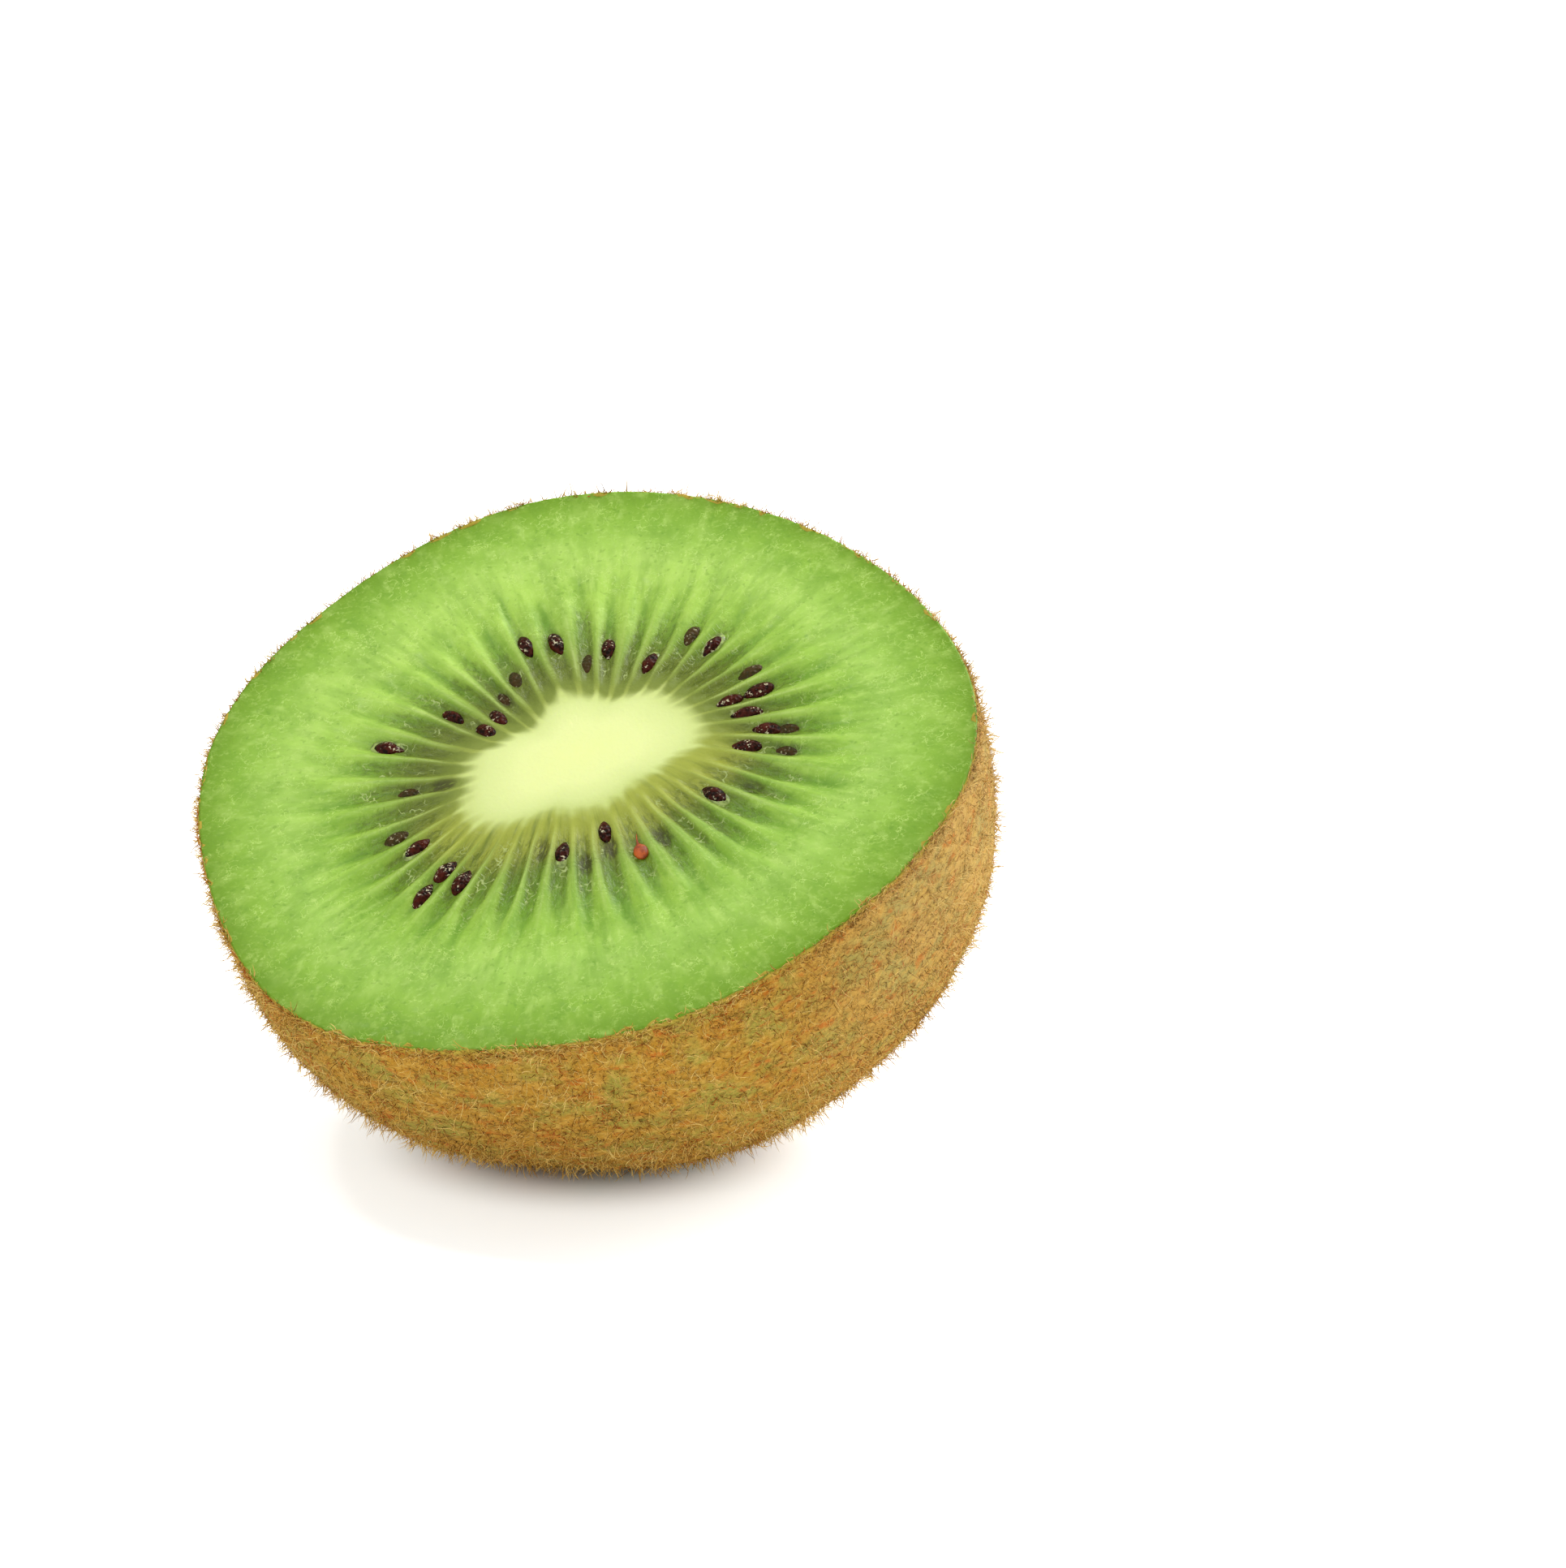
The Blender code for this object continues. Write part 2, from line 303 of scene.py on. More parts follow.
class Nodes:
    """A material's nodes, with short calls to add and join them."""

    def __init__(self, name: str) -> None:
        """Start an empty material.

        Args:
            name: The material's name.
        """
        self.material = bpy.data.materials.new(name)
        self.material.use_nodes = True
        self.tree = self.material.node_tree
        self.tree.nodes.clear()

    def add(
        self, kind: str, inputs: dict[str | int, object] | None = None, **settings: object
    ) -> bpy.types.Node:
        """Add a node.

        Args:
            kind: The node's type, without its ShaderNode prefix.
            inputs: What each input takes: an output of another node, or a constant.
            **settings: Properties of the node.

        Returns:
            The node.
        """
        node = self.tree.nodes.new(f"ShaderNode{kind}")
        for key, value in settings.items():
            setattr(node, key, value)
        for socket, value in (inputs or {}).items():
            if isinstance(value, bpy.types.NodeSocket):
                self.tree.links.new(value, node.inputs[socket])
            else:
                node.inputs[socket].default_value = value
        return node

    def attribute(self, name: str) -> bpy.types.NodeSocket:
        """The piece's own attribute of that name, as a number."""
        return self.add("Attribute", attribute_name=name).outputs["Fac"]

    def vector(self, name: str) -> bpy.types.NodeSocket:
        """The piece's own attribute of that name, as a vector."""
        return self.add("Attribute", attribute_name=name).outputs["Vector"]

    def place(self) -> bpy.types.NodeSocket:
        """The Object coordinates."""
        return self.add("TexCoord").outputs["Object"]

    def stretched(self, vector: bpy.types.NodeSocket, scale: Sequence[float]) -> bpy.types.NodeSocket:
        """A vector scaled along each axis."""
        return self.add("Mapping", {"Vector": vector, "Scale": tuple(scale)}).outputs["Vector"]

    def noise(self, vector: bpy.types.NodeSocket, scale: float, detail: float = 2.0) -> bpy.types.NodeSocket:
        """Noise of 0 to 1 with features about 1/scale wide."""
        wanted = {"Vector": vector, "Scale": scale, "Detail": detail, "Roughness": 0.55}
        return self.add("TexNoise", wanted).outputs["Fac"]

    def streaks(
        self, vector: bpy.types.NodeSocket, scale: Sequence[float], detail: float
    ) -> bpy.types.NodeSocket:
        """Noise with its own scale along each axis of a vector."""
        return self.noise(self.stretched(vector, scale), 1.0, detail)

    def spots(
        self, vector: bpy.types.NodeSocket, scale: float, low: float, high: float
    ) -> bpy.types.NodeSocket:
        """Soft spots: plain noise, with a smooth step from low to high."""
        return self.step(self.noise(vector, scale, 1.0), low, high)

    def step(self, value: bpy.types.NodeSocket, low: float, high: float) -> bpy.types.NodeSocket:
        """A smooth step of a value from 0 at low to 1 at high."""
        wanted = {"Value": value, "From Min": low, "From Max": high}
        return self.add("MapRange", wanted, interpolation_type="SMOOTHSTEP").outputs["Result"]

    def times(self, first: object, second: object, how: str = "MULTIPLY") -> bpy.types.NodeSocket:
        """Two numbers multiplied, or joined by another operation."""
        return self.add("Math", {0: first, 1: second}, operation=how).outputs["Value"]

    def lines(self, vector: bpy.types.NodeSocket, scale: float, width: float) -> bpy.types.NodeSocket:
        """Thin curly lines: 1 on a line and 0 beside it."""
        off = self.times(self.times(self.noise(vector, scale), 0.5, "SUBTRACT"), 0.0, "ABSOLUTE")
        return self.step(off, width, width * 0.35)

    def ramp(
        self, value: bpy.types.NodeSocket, stops: Sequence[tuple[float, Colour]]
    ) -> bpy.types.NodeSocket:
        """A colour that changes with a value, through the stops."""
        node = self.add("ValToRGB", {"Fac": value})
        bar = node.color_ramp
        while len(bar.elements) < len(stops):
            bar.elements.new(1.0)
        for element, (at, colour) in zip(bar.elements, stops):
            element.position = at
            element.color = linear(colour)
        return node.outputs["Color"]

    def mix(self, share: object, under: object, over: object, blend: str = "MIX") -> bpy.types.NodeSocket:
        """One colour over another, by a share."""
        values = [linear(c) if isinstance(c, tuple) and len(c) == 3 else c for c in (under, over)]
        wanted = {"Factor": share, 6: values[0], 7: values[1]}
        return self.add("Mix", wanted, data_type="RGBA", blend_type=blend).outputs[2]

    def cover(self, under: object, over: object, *shares: object) -> bpy.types.NodeSocket:
        """One colour over another, by the product of shares."""
        share = shares[-1]
        for other in reversed(shares[:-1]):
            share = self.times(other, share)
        return self.mix(share, under, over)

    def bump(
        self, height: bpy.types.NodeSocket, distance: float, strength: float = 1.0
    ) -> bpy.types.NodeSocket:
        """A bumped normal."""
        wanted = {"Height": height, "Distance": distance, "Strength": strength}
        return self.add("Bump", wanted).outputs["Normal"]

    def finish(self, **inputs: object) -> bpy.types.Material:
        """Close the material with a Principled shader.

        Args:
            **inputs: The shader's inputs, with an underscore for each space in their names.

        Returns:
            The material.
        """
        wanted = {name.replace("_", " "): value for name, value in inputs.items()}
        shader = self.add("BsdfPrincipled", wanted)
        self.add("OutputMaterial", {"Surface": shader.outputs["BSDF"]})
        return self.material


@dataclass(frozen=True)
class FleshFinish:
    """Moist green flesh with darker locules, pale rays and a cream core, painted paler on its upper side,
    with some painted glints.
    """

    locule_stops: tuple[tuple[float, Colour], ...] = (
        (0.0, (128, 142, 56)), (0.05, (114, 129, 44)), (0.18, (108, 122, 38)), (0.3, (110, 137, 36)),
        (0.42, (116, 158, 34)), (0.55, (140, 188, 58)), (0.68, (161, 202, 84)), (0.82, (146, 187, 68)),
        (0.92, (122, 166, 35)), (1.0, (111, 152, 20)),
    )
    ray_stops: tuple[tuple[float, Colour], ...] = (
        (0.0, (152, 164, 70)), (0.07, (130, 146, 54)), (0.16, (134, 156, 58)), (0.32, (144, 178, 60)),
        (0.5, (152, 194, 68)), (0.66, (163, 204, 87)), (0.84, (141, 184, 59)), (1.0, (111, 152, 20)),
    )
    core_stops: tuple[tuple[float, Colour], ...] = (
        (0.0, (234, 242, 160)), (0.5, (230, 239, 161)), (0.8, (216, 228, 148)), (1.0, (198, 212, 124)),
    )
    thread: Colour = (196, 214, 134)
    warm: Colour = (168, 176, 66)
    # Painted light: the paler green of the face's upper side.
    lit: Colour = (194, 228, 104)
    # Pale flecks and mottle of the flesh; its small dashes and dots are partly pale cells, partly painted
    # glints.
    pale_fleck_and_glint: Colour = (194, 224, 118)
    # Painted glints, partly pale gel: the whitish curls in the locules.
    gel_threads_and_glints: Colour = (198, 214, 138)
    gel_dark: Colour = (84, 98, 22)
    deep_green: Colour = (92, 140, 26)
    sunken: Colour = (50, 40, 14)

    def material(self) -> bpy.types.Material:
        """The material, which reads the attributes that CutFace gives its mesh."""
        nodes = Nodes("flesh")
        share = nodes.attribute("share")
        along = nodes.vector("ray_space")
        place = nodes.place()
        grain = nodes.attribute("grain")
        gel = nodes.attribute("gel")
        streak = nodes.streaks(along, (22.0, 22.0, 4.0), 3.0)
        dash = nodes.streaks(place, (2400.0, 4600.0, 4600.0), 1.5)
        cloud = nodes.streaks(along, (14.0, 14.0, 8.0), 3.0)
        mottle = nodes.streaks(along, (34.0, 34.0, 17.0), 4.0)
        curd = nodes.streaks(along, (46.0, 46.0, 30.0), 4.0)
        dot = nodes.noise(place, 3300.0, 1.0)
        blotch = nodes.noise(place, 300.0, 3.0)
        curls = nodes.times(nodes.lines(place, 1050.0, 0.026), nodes.spots(place, 650.0, 0.49, 0.64))
        worms = nodes.times(nodes.lines(place, 1500.0, 0.02), nodes.spots(place, 700.0, 0.46, 0.62))
        patchy = nodes.times(nodes.spots(place, 900.0, 0.4, 0.62), grain)
        nick = nodes.spots(place, 2300.0, 0.62, 0.74)
        locules = nodes.ramp(share, self.locule_stops)
        green = nodes.mix(nodes.attribute("ray"), locules, nodes.ramp(share, self.ray_stops))
        green = nodes.cover(green, self.warm, nodes.attribute("warm"), nodes.step(streak, 0.15, 0.55))
        green = nodes.cover(green, self.thread, nodes.attribute("thread"), nodes.step(streak, 0.2, 0.6))
        # Painted light: the upper side of the face made paler.
        green = nodes.cover(green, self.lit, nodes.attribute("lit"))
        green = nodes.cover(green, self.deep_green, nodes.attribute("tip"))
        green = nodes.cover(green, self.gel_dark, nodes.step(curd, 0.53, 0.42), gel, 0.5)
        # Whitish curls in the locules: partly pale gel threads, partly painted glints.
        green = nodes.cover(green, self.gel_threads_and_glints, curls, gel, 0.7)
        fibres = nodes.step(streak, 0.6, 0.35)
        green = nodes.cover(green, self.deep_green, fibres, nodes.attribute("fibrous"))
        green = nodes.cover(green, self.deep_green, nodes.step(blotch, 0.4, 0.7), grain, 0.26)
        green = nodes.cover(green, self.pale_fleck_and_glint, nodes.step(mottle, 0.5, 0.78), grain, 0.42)
        green = nodes.cover(green, self.pale_fleck_and_glint, nodes.step(cloud, 0.48, 0.7), grain, 0.22)
        green = nodes.cover(green, self.deep_green, nodes.step(cloud, 0.5, 0.3), grain, 0.16)
        # Partly pale cells, partly painted glints: the small dashes here and the dots two lines below.
        green = nodes.cover(green, self.pale_fleck_and_glint, nodes.step(dash, 0.54, 0.72), patchy, 0.32)
        green = nodes.cover(green, self.pale_fleck_and_glint, worms, grain, 0.6)
        green = nodes.cover(green, self.pale_fleck_and_glint, nodes.step(dot, 0.62, 0.76), grain, 0.22)
        green = nodes.cover(green, self.deep_green, nick, grain, 0.3)
        core = nodes.ramp(nodes.attribute("core_share"), self.core_stops)
        colour = nodes.mix(nodes.attribute("core"), green, core)
        colour = nodes.cover(colour, self.sunken, nodes.attribute("sunk"), nodes.step(curd, 0.66, 0.5))
        height = nodes.times(nodes.times(curd, nodes.times(gel, 3.0)), nodes.times(dot, 0.5), "ADD")
        return nodes.finish(
            Base_Color=colour,
            Roughness=nodes.times(nodes.times(gel, -0.24), 0.52, "ADD"),
            IOR=1.33,
            Subsurface_Weight=0.22,
            Subsurface_Radius=(0.8, 1.0, 0.35),
            Subsurface_Scale=0.5 * MM,
            Coat_Weight=0.04,
            Coat_Roughness=0.2,
            Normal=nodes.bump(height, 0.1 * MM, 0.6),
        )


@dataclass(frozen=True)
class SkinFinish:
    """Dry brown skin, olive in places, with rusty flecks, and painted paler on the lit side near the cut."""

    tan: Colour = (170, 124, 40)
    olive: Colour = (146, 134, 54)
    # Painted light: paler copies of the tan and the olive, for the lit side near the cut.
    lit_tan: Colour = (192, 154, 84)
    lit_olive: Colour = (170, 150, 86)
    pale: Colour = (200, 160, 76)
    rust: Colour = (178, 92, 28)
    dark: Colour = (108, 70, 24)
    cut_edge: Colour = (178, 158, 62)

    def material(self) -> bpy.types.Material:
        """The material, which reads the attributes that Skin gives its mesh."""
        nodes = Nodes("skin")
        place = nodes.place()
        around = nodes.vector("ring_space")
        broad = nodes.noise(place, 330.0, 3.0)
        patch = nodes.streaks(around, (14.0, 14.0, 26.0), 4.0)
        streak = nodes.streaks(around, (30.0, 30.0, 70.0), 4.0)
        fleck = nodes.noise(place, 1100.0, 3.0)
        speck = nodes.noise(place, 1900.0, 2.0)
        # Painted light: the skin turns to its paler lit copies near the cut, on the side of +X.
        painted_light = nodes.attribute("painted_light")
        tan = nodes.mix(painted_light, self.tan, self.lit_tan)
        olive = nodes.mix(painted_light, self.olive, self.lit_olive)
        colour = nodes.mix(nodes.step(broad, 0.42, 0.64), tan, olive)
        colour = nodes.cover(colour, self.pale, nodes.step(streak, 0.45, 0.7), 0.6)
        rusty = nodes.times(nodes.step(patch, 0.5, 0.68), nodes.step(fleck, 0.36, 0.6))
        colour = nodes.cover(colour, self.rust, rusty, 0.75)
        colour = nodes.cover(colour, self.dark, nodes.step(speck, 0.56, 0.68), 0.36)
        colour = nodes.cover(colour, self.dark, nodes.lines(place, 1100.0, 0.024), 0.4)
        colour = nodes.cover(colour, self.pale, nodes.lines(place, 1500.0, 0.02), 0.4)
        colour = nodes.cover(colour, self.cut_edge, nodes.attribute("edge"))
        height = nodes.times(nodes.times(streak, 1.2), nodes.times(speck, 0.6), "ADD")
        return nodes.finish(
            Base_Color=colour,
            Roughness=0.85,
            IOR=1.3,
            Specular_IOR_Level=0.2,
            Normal=nodes.bump(height, 0.2 * MM, 0.9),
        )


@dataclass(frozen=True)
class SeedFinish:
    """Glossy dark maroon seeds, some veiled by the flesh over them, with painted glints."""

    dark: Colour = (20, 8, 2)
    maroon: Colour = (64, 18, 4)
    net: Colour = (104, 42, 30)
    # Painted highlight: the colour of the small glints painted on the seeds.
    glint: Colour = (224, 216, 178)
    veil: Colour = (74, 70, 34)

    def material(self) -> bpy.types.Material:
        """The material, with the net of fine pits that seeds have."""
        nodes = Nodes("seed")
        place = nodes.place()
        pits = nodes.add("TexVoronoi", {"Vector": place, "Scale": 3600.0}).outputs["Distance"]
        tone = nodes.noise(place, 1100.0, 2.0)
        colour = nodes.mix(nodes.step(tone, 0.4, 0.7), self.dark, self.maroon)
        colour = nodes.cover(colour, self.net, nodes.step(pits, 0.3, 0.75), 0.3)
        # Painted glints: pale specks in patches over the seeds.
        wet = nodes.spots(place, 1300.0, 0.46, 0.6)
        glints = nodes.times(nodes.spots(place, 5000.0, 0.58, 0.66), wet)
        colour = nodes.cover(colour, self.glint, glints, 0.85)
        colour = nodes.cover(colour, self.veil, nodes.attribute("veil"))
        return nodes.finish(
            Base_Color=colour,
            Roughness=0.3,
            IOR=1.3,
            Specular_IOR_Level=0.15,
            Coat_Weight=0.03,
            Coat_Roughness=0.12,
            Normal=nodes.bump(pits, 0.12 * MM, 1.0),
        )


@dataclass(frozen=True)
class PlainFinish:
    """A finish of two mottled colours with one gloss, for the small pieces."""

    name: str
    first: Colour
    second: Colour
    roughness: float = 0.5
    coat: float = 0.0
    scale: float = 900.0
    bump: float = 0.03 * MM

    def material(self) -> bpy.types.Material:
        """The material."""
        nodes = Nodes(self.name)
        place = nodes.place()
        tone = nodes.noise(place, self.scale, 3.0)
        colour = nodes.mix(nodes.step(tone, 0.35, 0.65), self.first, self.second)
        return nodes.finish(
            Base_Color=colour,
            Roughness=self.roughness,
            Coat_Weight=self.coat,
            Coat_Roughness=0.1,
            Normal=nodes.bump(tone, self.bump, 0.6),
        )


@dataclass(frozen=True)
class HairFinish:
    """Hairs whose colour differs from one to the next, painted paler on the lit side near the cut."""

    name: str
    stops: tuple[tuple[float, Colour], ...]
    # Painted light: the paler colour of the hairs on the lit side near the cut.
    painted_light_tint: Colour = (226, 196, 130)
    root_tint: Colour = (96, 62, 20)
    tint_share: float = 0.4
    roughness: float = 0.55

    def material(self) -> bpy.types.Material:
        """The material, which reads each hair's own tint."""
        nodes = Nodes(self.name)
        colour = nodes.ramp(nodes.attribute("tint"), self.stops)
        # Painted light on the hairs near the cut, on the side of +X.
        colour = nodes.cover(colour, self.painted_light_tint, nodes.attribute("painted_light"), self.tint_share)
        near_root = nodes.step(nodes.attribute("along"), 0.6, 0.0)
        colour = nodes.cover(colour, self.root_tint, near_root, self.tint_share)
        return nodes.finish(Base_Color=colour, Roughness=self.roughness, IOR=1.3, Specular_IOR_Level=0.3)


def deselect() -> None:
    """Leave edit mode and deselect everything."""
    if bpy.context.object and bpy.context.object.mode != "OBJECT":
        bpy.ops.object.mode_set(mode="OBJECT")
    bpy.ops.object.select_all(action="DESELECT")


def take_primitive(name: str) -> bpy.types.Object:
    """Name the primitive that was just added."""
    thing = bpy.context.object
    thing.name = name
    thing.data.name = name
    return thing


def lying_sphere(name: str, segments: int, rings: int, radius: float = 1.0) -> bpy.types.Object:
    """Add a sphere whose poles lie on the X axis.

    Args:
        name: The sphere's name.
        segments: Its segments.
        rings: Its rings.
        radius: Its radius.

    Returns:
        The sphere, with its turn in its mesh.
    """
    deselect()
    bpy.ops.mesh.primitive_uv_sphere_add(
        segments=segments, ring_count=rings, radius=radius, rotation=(0, math.pi / 2, 0)
    )
    sphere = take_primitive(name)
    bpy.ops.object.transform_apply(rotation=True)
    return sphere


def cut_to_triangles() -> None:
    """Cut the faces of the object in hand into triangles, and leave edit mode."""
    bpy.ops.object.mode_set(mode="EDIT")
    bpy.ops.mesh.select_all(action="SELECT")
    bpy.ops.mesh.quads_convert_to_tris()
    bpy.ops.object.mode_set(mode="OBJECT")


def corners_of(thing: bpy.types.Object) -> Points:
    """The places of a mesh's vertices, one row each."""
    places = np.empty(len(thing.data.vertices) * 3)
    thing.data.vertices.foreach_get("co", places)
    return places.reshape(-1, 3)


def move_corners(thing: bpy.types.Object, places: Points) -> None:
    """Put a mesh's vertices at places, one row each."""
    thing.data.vertices.foreach_set("co", np.ascontiguousarray(places, np.float32).ravel())
    thing.data.update()


def note(thing: bpy.types.Object, name: str, values: Points) -> None:
    """Give a mesh's vertices an attribute.

    Args:
        thing: The piece.
        name: The attribute's name.
        values: One number, or one row of three, for each vertex.
    """
    kind, key = ("FLOAT", "value") if np.ndim(values) == 1 else ("FLOAT_VECTOR", "vector")
    made = thing.data.attributes.new(name, kind, "POINT")
    made.data.foreach_set(key, np.ascontiguousarray(values, np.float32).ravel())


def sphere_rows(thing: bpy.types.Object, segments: int, rings: int) -> tuple[Points, Points]:
    """Where each vertex of a sphere of radius 1 stands in its rows.

    Args:
        thing: The sphere, as the primitive gives it.
        segments: Its segments.
        rings: Its rings.

    Returns:
        The column, and the ring from the top down, of each vertex.
    """
    places = corners_of(thing)
    ring = np.rint(np.arccos(np.clip(places[:, 2], -1.0, 1.0)) / math.pi * rings).astype(int)
    column = np.rint(np.arctan2(places[:, 1], places[:, 0]) / (2.0 * math.pi) * segments) % segments
    return column, ring


def add_piece(
    thing: bpy.types.Object, slot: Slot, material: bpy.types.Material, *nodes: str
) -> bpy.types.Object:
    """Shade and dress a finished piece, and hang it on the frame.

    Args:
        thing: The piece, with its place in its mesh.
        slot: The record's slot for the piece; not used.
        material: Its finish.
        *nodes: The frame's nodes that it stands for.

    Returns:
        The piece.
    """
    deselect()
    thing.select_set(True)
    bpy.context.view_layer.objects.active = thing
    bpy.ops.object.shade_smooth()
    thing.data.materials.clear()
    thing.data.materials.append(material)
    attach(thing, "root")
    if nodes:
        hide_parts(*nodes)
    faces = sum(len(face.vertices) - 2 for face in thing.data.polygons)
    log.info("%s: %d triangles", thing.name, faces)
    return thing


@dataclass
class Template:
    """A small shape modelled once, to be copied many times into one mesh."""

    corners: Points
    triangles: Points

    @classmethod
    def take(cls, thing: bpy.types.Object) -> "Template":
        """Read a modelled object as a template, and remove the object.

        Args:
            thing: The object, made of triangles.

        Returns:
            The template.
        """
        corners = corners_of(thing)
        triangles = np.array([list(face.vertices) for face in thing.data.polygons])
        bpy.data.objects.remove(thing)
        return cls(corners, triangles)

    def copies(self, name: str, corners: Points) -> bpy.types.Object:
        """One mesh of many copies.

        Args:
            name: The new piece's name.
            corners: The corners of each copy, as copies by corners by three.

        Returns:
            The new piece.
        """
        count, size = corners.shape[:2]
        triangles = (self.triangles[None] + (np.arange(count) * size)[:, None, None]).reshape(-1, 3)
        mesh = bpy.data.meshes.new(name)
        mesh.vertices.add(count * size)
        mesh.vertices.foreach_set("co", np.ascontiguousarray(corners, np.float32).ravel())
        mesh.loops.add(triangles.size)
        mesh.loops.foreach_set("vertex_index", triangles.ravel().astype(np.int32))
        mesh.polygons.add(len(triangles))
        mesh.polygons.foreach_set("loop_start", np.arange(0, triangles.size, 3, dtype=np.int32))
        mesh.update(calc_edges=True)
        mesh.validate()
        thing = bpy.data.objects.new(name, mesh)
        bpy.context.scene.collection.objects.link(thing)
        return thing


@dataclass
class CutFace:
    """The flesh, with its cut face in relief: core, rays, locules and fine grain."""

    shape: FruitShape
    finish: FleshFinish = field(default_factory=FleshFinish)
    columns_per_ray: int = 14
    core_rings: int = 24
    flesh_rings: int = 126
    under_rings: int = 8
    skin_overlap: float = 0.08 * MM
    lip_share: float = 0.1
    swell_share: float = 0.4
    core_dents: tuple[tuple[float, float, float], ...] = (
        (131.0, 9.0, 0.042), (317.0, 14.0, 0.04), (172.0, 12.0, 0.02), (88.0, 12.0, -0.016),
        (264.0, 22.0, -0.01),
    )
    floor_gap: float = 0.2 * MM
    grain_height: float = 0.035 * MM
    ray_height: float = 0.05 * MM
    groove_depth: float = 0.07 * MM
    sunken_seeds: tuple[tuple[int, float, float], ...] = (
        (12, 3.7, 0.5), (18, 3.8, 0.4), (18, 1.4, 0.7), (27, 3.3, 0.55), (29, 4.8, 0.7), (30, 3.9, 0.75),
        (32, 5.1, 0.65), (36, 5.7, 0.5), (38, 5.9, 0.5), (39, 5.6, 0.5),
    )
    sunken_length: float = 2.0 * MM
    sunken_width: float = 1.15 * MM

    def build(self) -> bpy.types.Object:
        """Make the flesh as one closed piece.

        Returns:
            The piece, which stands for the frame's solid.
        """
        segments = self.shape.rays * self.columns_per_ray
        rings = 1 + self.core_rings + self.flesh_rings + self.under_rings
        deselect()
        bpy.ops.mesh.primitive_uv_sphere_add(segments=segments, ring_count=rings, radius=1.0)
        flesh = take_primitive("cut_flesh")
        column, ring = sphere_rows(flesh, segments, rings)
        number = column / self.columns_per_ray
        turn = self.shape.ray_turn(number)
        inner = ring <= self.core_rings
        under = ring > self.core_rings + self.flesh_rings
        share = np.clip((ring - self.core_rings) / self.flesh_rings, 0.0, 1.0)
        core_share = np.clip(ring / self.core_rings, 0.0, 1.0)
        turn = turn + self._waver(number, share)
        places = self._face(turn, share, core_share, inner)
        masks = self._masks(number, turn, share, core_share, inner, places)
        places[:, 2] += self._relief(number, turn, share, inner, masks)
        angle = (ring - self.core_rings - self.flesh_rings) / (self.under_rings + 1) * math.pi / 2
        places[under] = self._under(turn[under], angle[under])
        laid = self.shape.lay_down(places)
        laid[:, 2] = np.maximum(laid[:, 2], self.floor_gap)
        move_corners(flesh, laid)
        for name, values in masks.items():
            note(flesh, name, values)
        along = np.column_stack([np.cos(turn), np.sin(turn), share + 0.3 * (core_share - 1.0)])
        note(flesh, "ray_space", along)
        return add_piece(flesh, Slot.FLESH, self.finish.material(), "kiwi_half")

    def _waver(self, number: Points, share: Points) -> Points:
        """How far the rays stray from straight lines, in radians."""
        steps = np.column_stack([np.cos(number / self.shape.rays * 2 * math.pi) * 8,
                                 np.sin(number / self.shape.rays * 2 * math.pi) * 8, share * 3.2])
        reach = ease(0.05, 0.2, share) * (1.0 - ease(0.75, 0.95, share))
        return math.radians(1.3) * reach * Grain(3).at(steps)

    def _face(self, turn: Points, share: Points, core_share: Points, inner: Points) -> Points:
        """The face before its fine relief."""
        middle = np.array(self.shape.core_middle)
        edge = self.shape.core_edge(turn)
        on_core = middle + (edge - middle) * core_share[:, None]
        flat = np.where(inner[:, None], on_core, self.shape.on_face(turn, share))
        rim = 1.0 - self.skin_overlap / np.linalg.norm(self.shape.rim_point(turn), axis=1)
        flat *= np.where(share > 0.9, 1.0 - (1.0 - rim) * ease(0.9, 1.0, share), 1.0)[:, None]
        top = self.shape.core_rise * (1.0 - 0.6 * core_share**4)
        return np.column_stack([flat, np.where(inner, top, 0.0)])

    def _masks(
        self, number: Points, turn: Points, share: Points, core_share: Points, inner: Points, places: Points
    ) -> dict[str, Points]:
        """Where each colour of the face goes.

        Args:
            number: Each vertex's place round the face, counted in rays.
            turn: The same in radians.
            share: 0 at the core's edge and 1 at the rim.
            core_share: 0 at the core's middle and 1 at its edge.
            inner: Whether the vertex is on the core.
            places: The vertices' places.

        Returns:
            An attribute's values for each name that the finish reads.
        """
        rng = np.random.default_rng(5)
        nearest = np.rint(number).astype(int) % self.shape.rays
        locule = np.floor(number).astype(int) % self.shape.rays
        off = np.abs(number - np.rint(number))
        strength = rng.uniform(0.3, 1.0, self.shape.rays)[nearest]
        tip_at = rng.uniform(0.46, 0.62, self.shape.rays)[locule]
        lean = rng.uniform(-0.05, 0.05, self.shape.rays)[locule]
        full = rng.uniform(0.8, 1.06, self.shape.rays)[locule]
        tip_depth = rng.uniform(0.15, 0.75, self.shape.rays)[locule]
        middle = np.abs(number - np.floor(number) - 0.5 - lean)
        around = np.column_stack([np.cos(turn) * 30.0, np.sin(turn) * 30.0, share * 10.0])
        wobble = 1.0 + 0.24 * Grain(9).at(around) + 0.12 * Grain(10).at(around * 2.3)
        width = 0.42 * np.maximum(0.0, 1.0 - (share / tip_at) ** 2.4) ** 0.8 * full
        width *= np.where(share > 0.05, wobble, 1.0)
        soft = 0.045 + 0.13 * share
        groove = 1.0 - ease(-soft, soft, middle - width)
        groove *= 1.0 - ease(-0.2, 0.05, share - tip_at)
        tooth = 0.008 - 0.02 * np.maximum(np.sin(turn), 0.0)
        tooth += 0.04 * np.exp(-((off / 0.2) ** 2)) * rng.uniform(0.1, 1.0, self.shape.rays)[nearest]
        for at, reach, deep in self.core_dents:
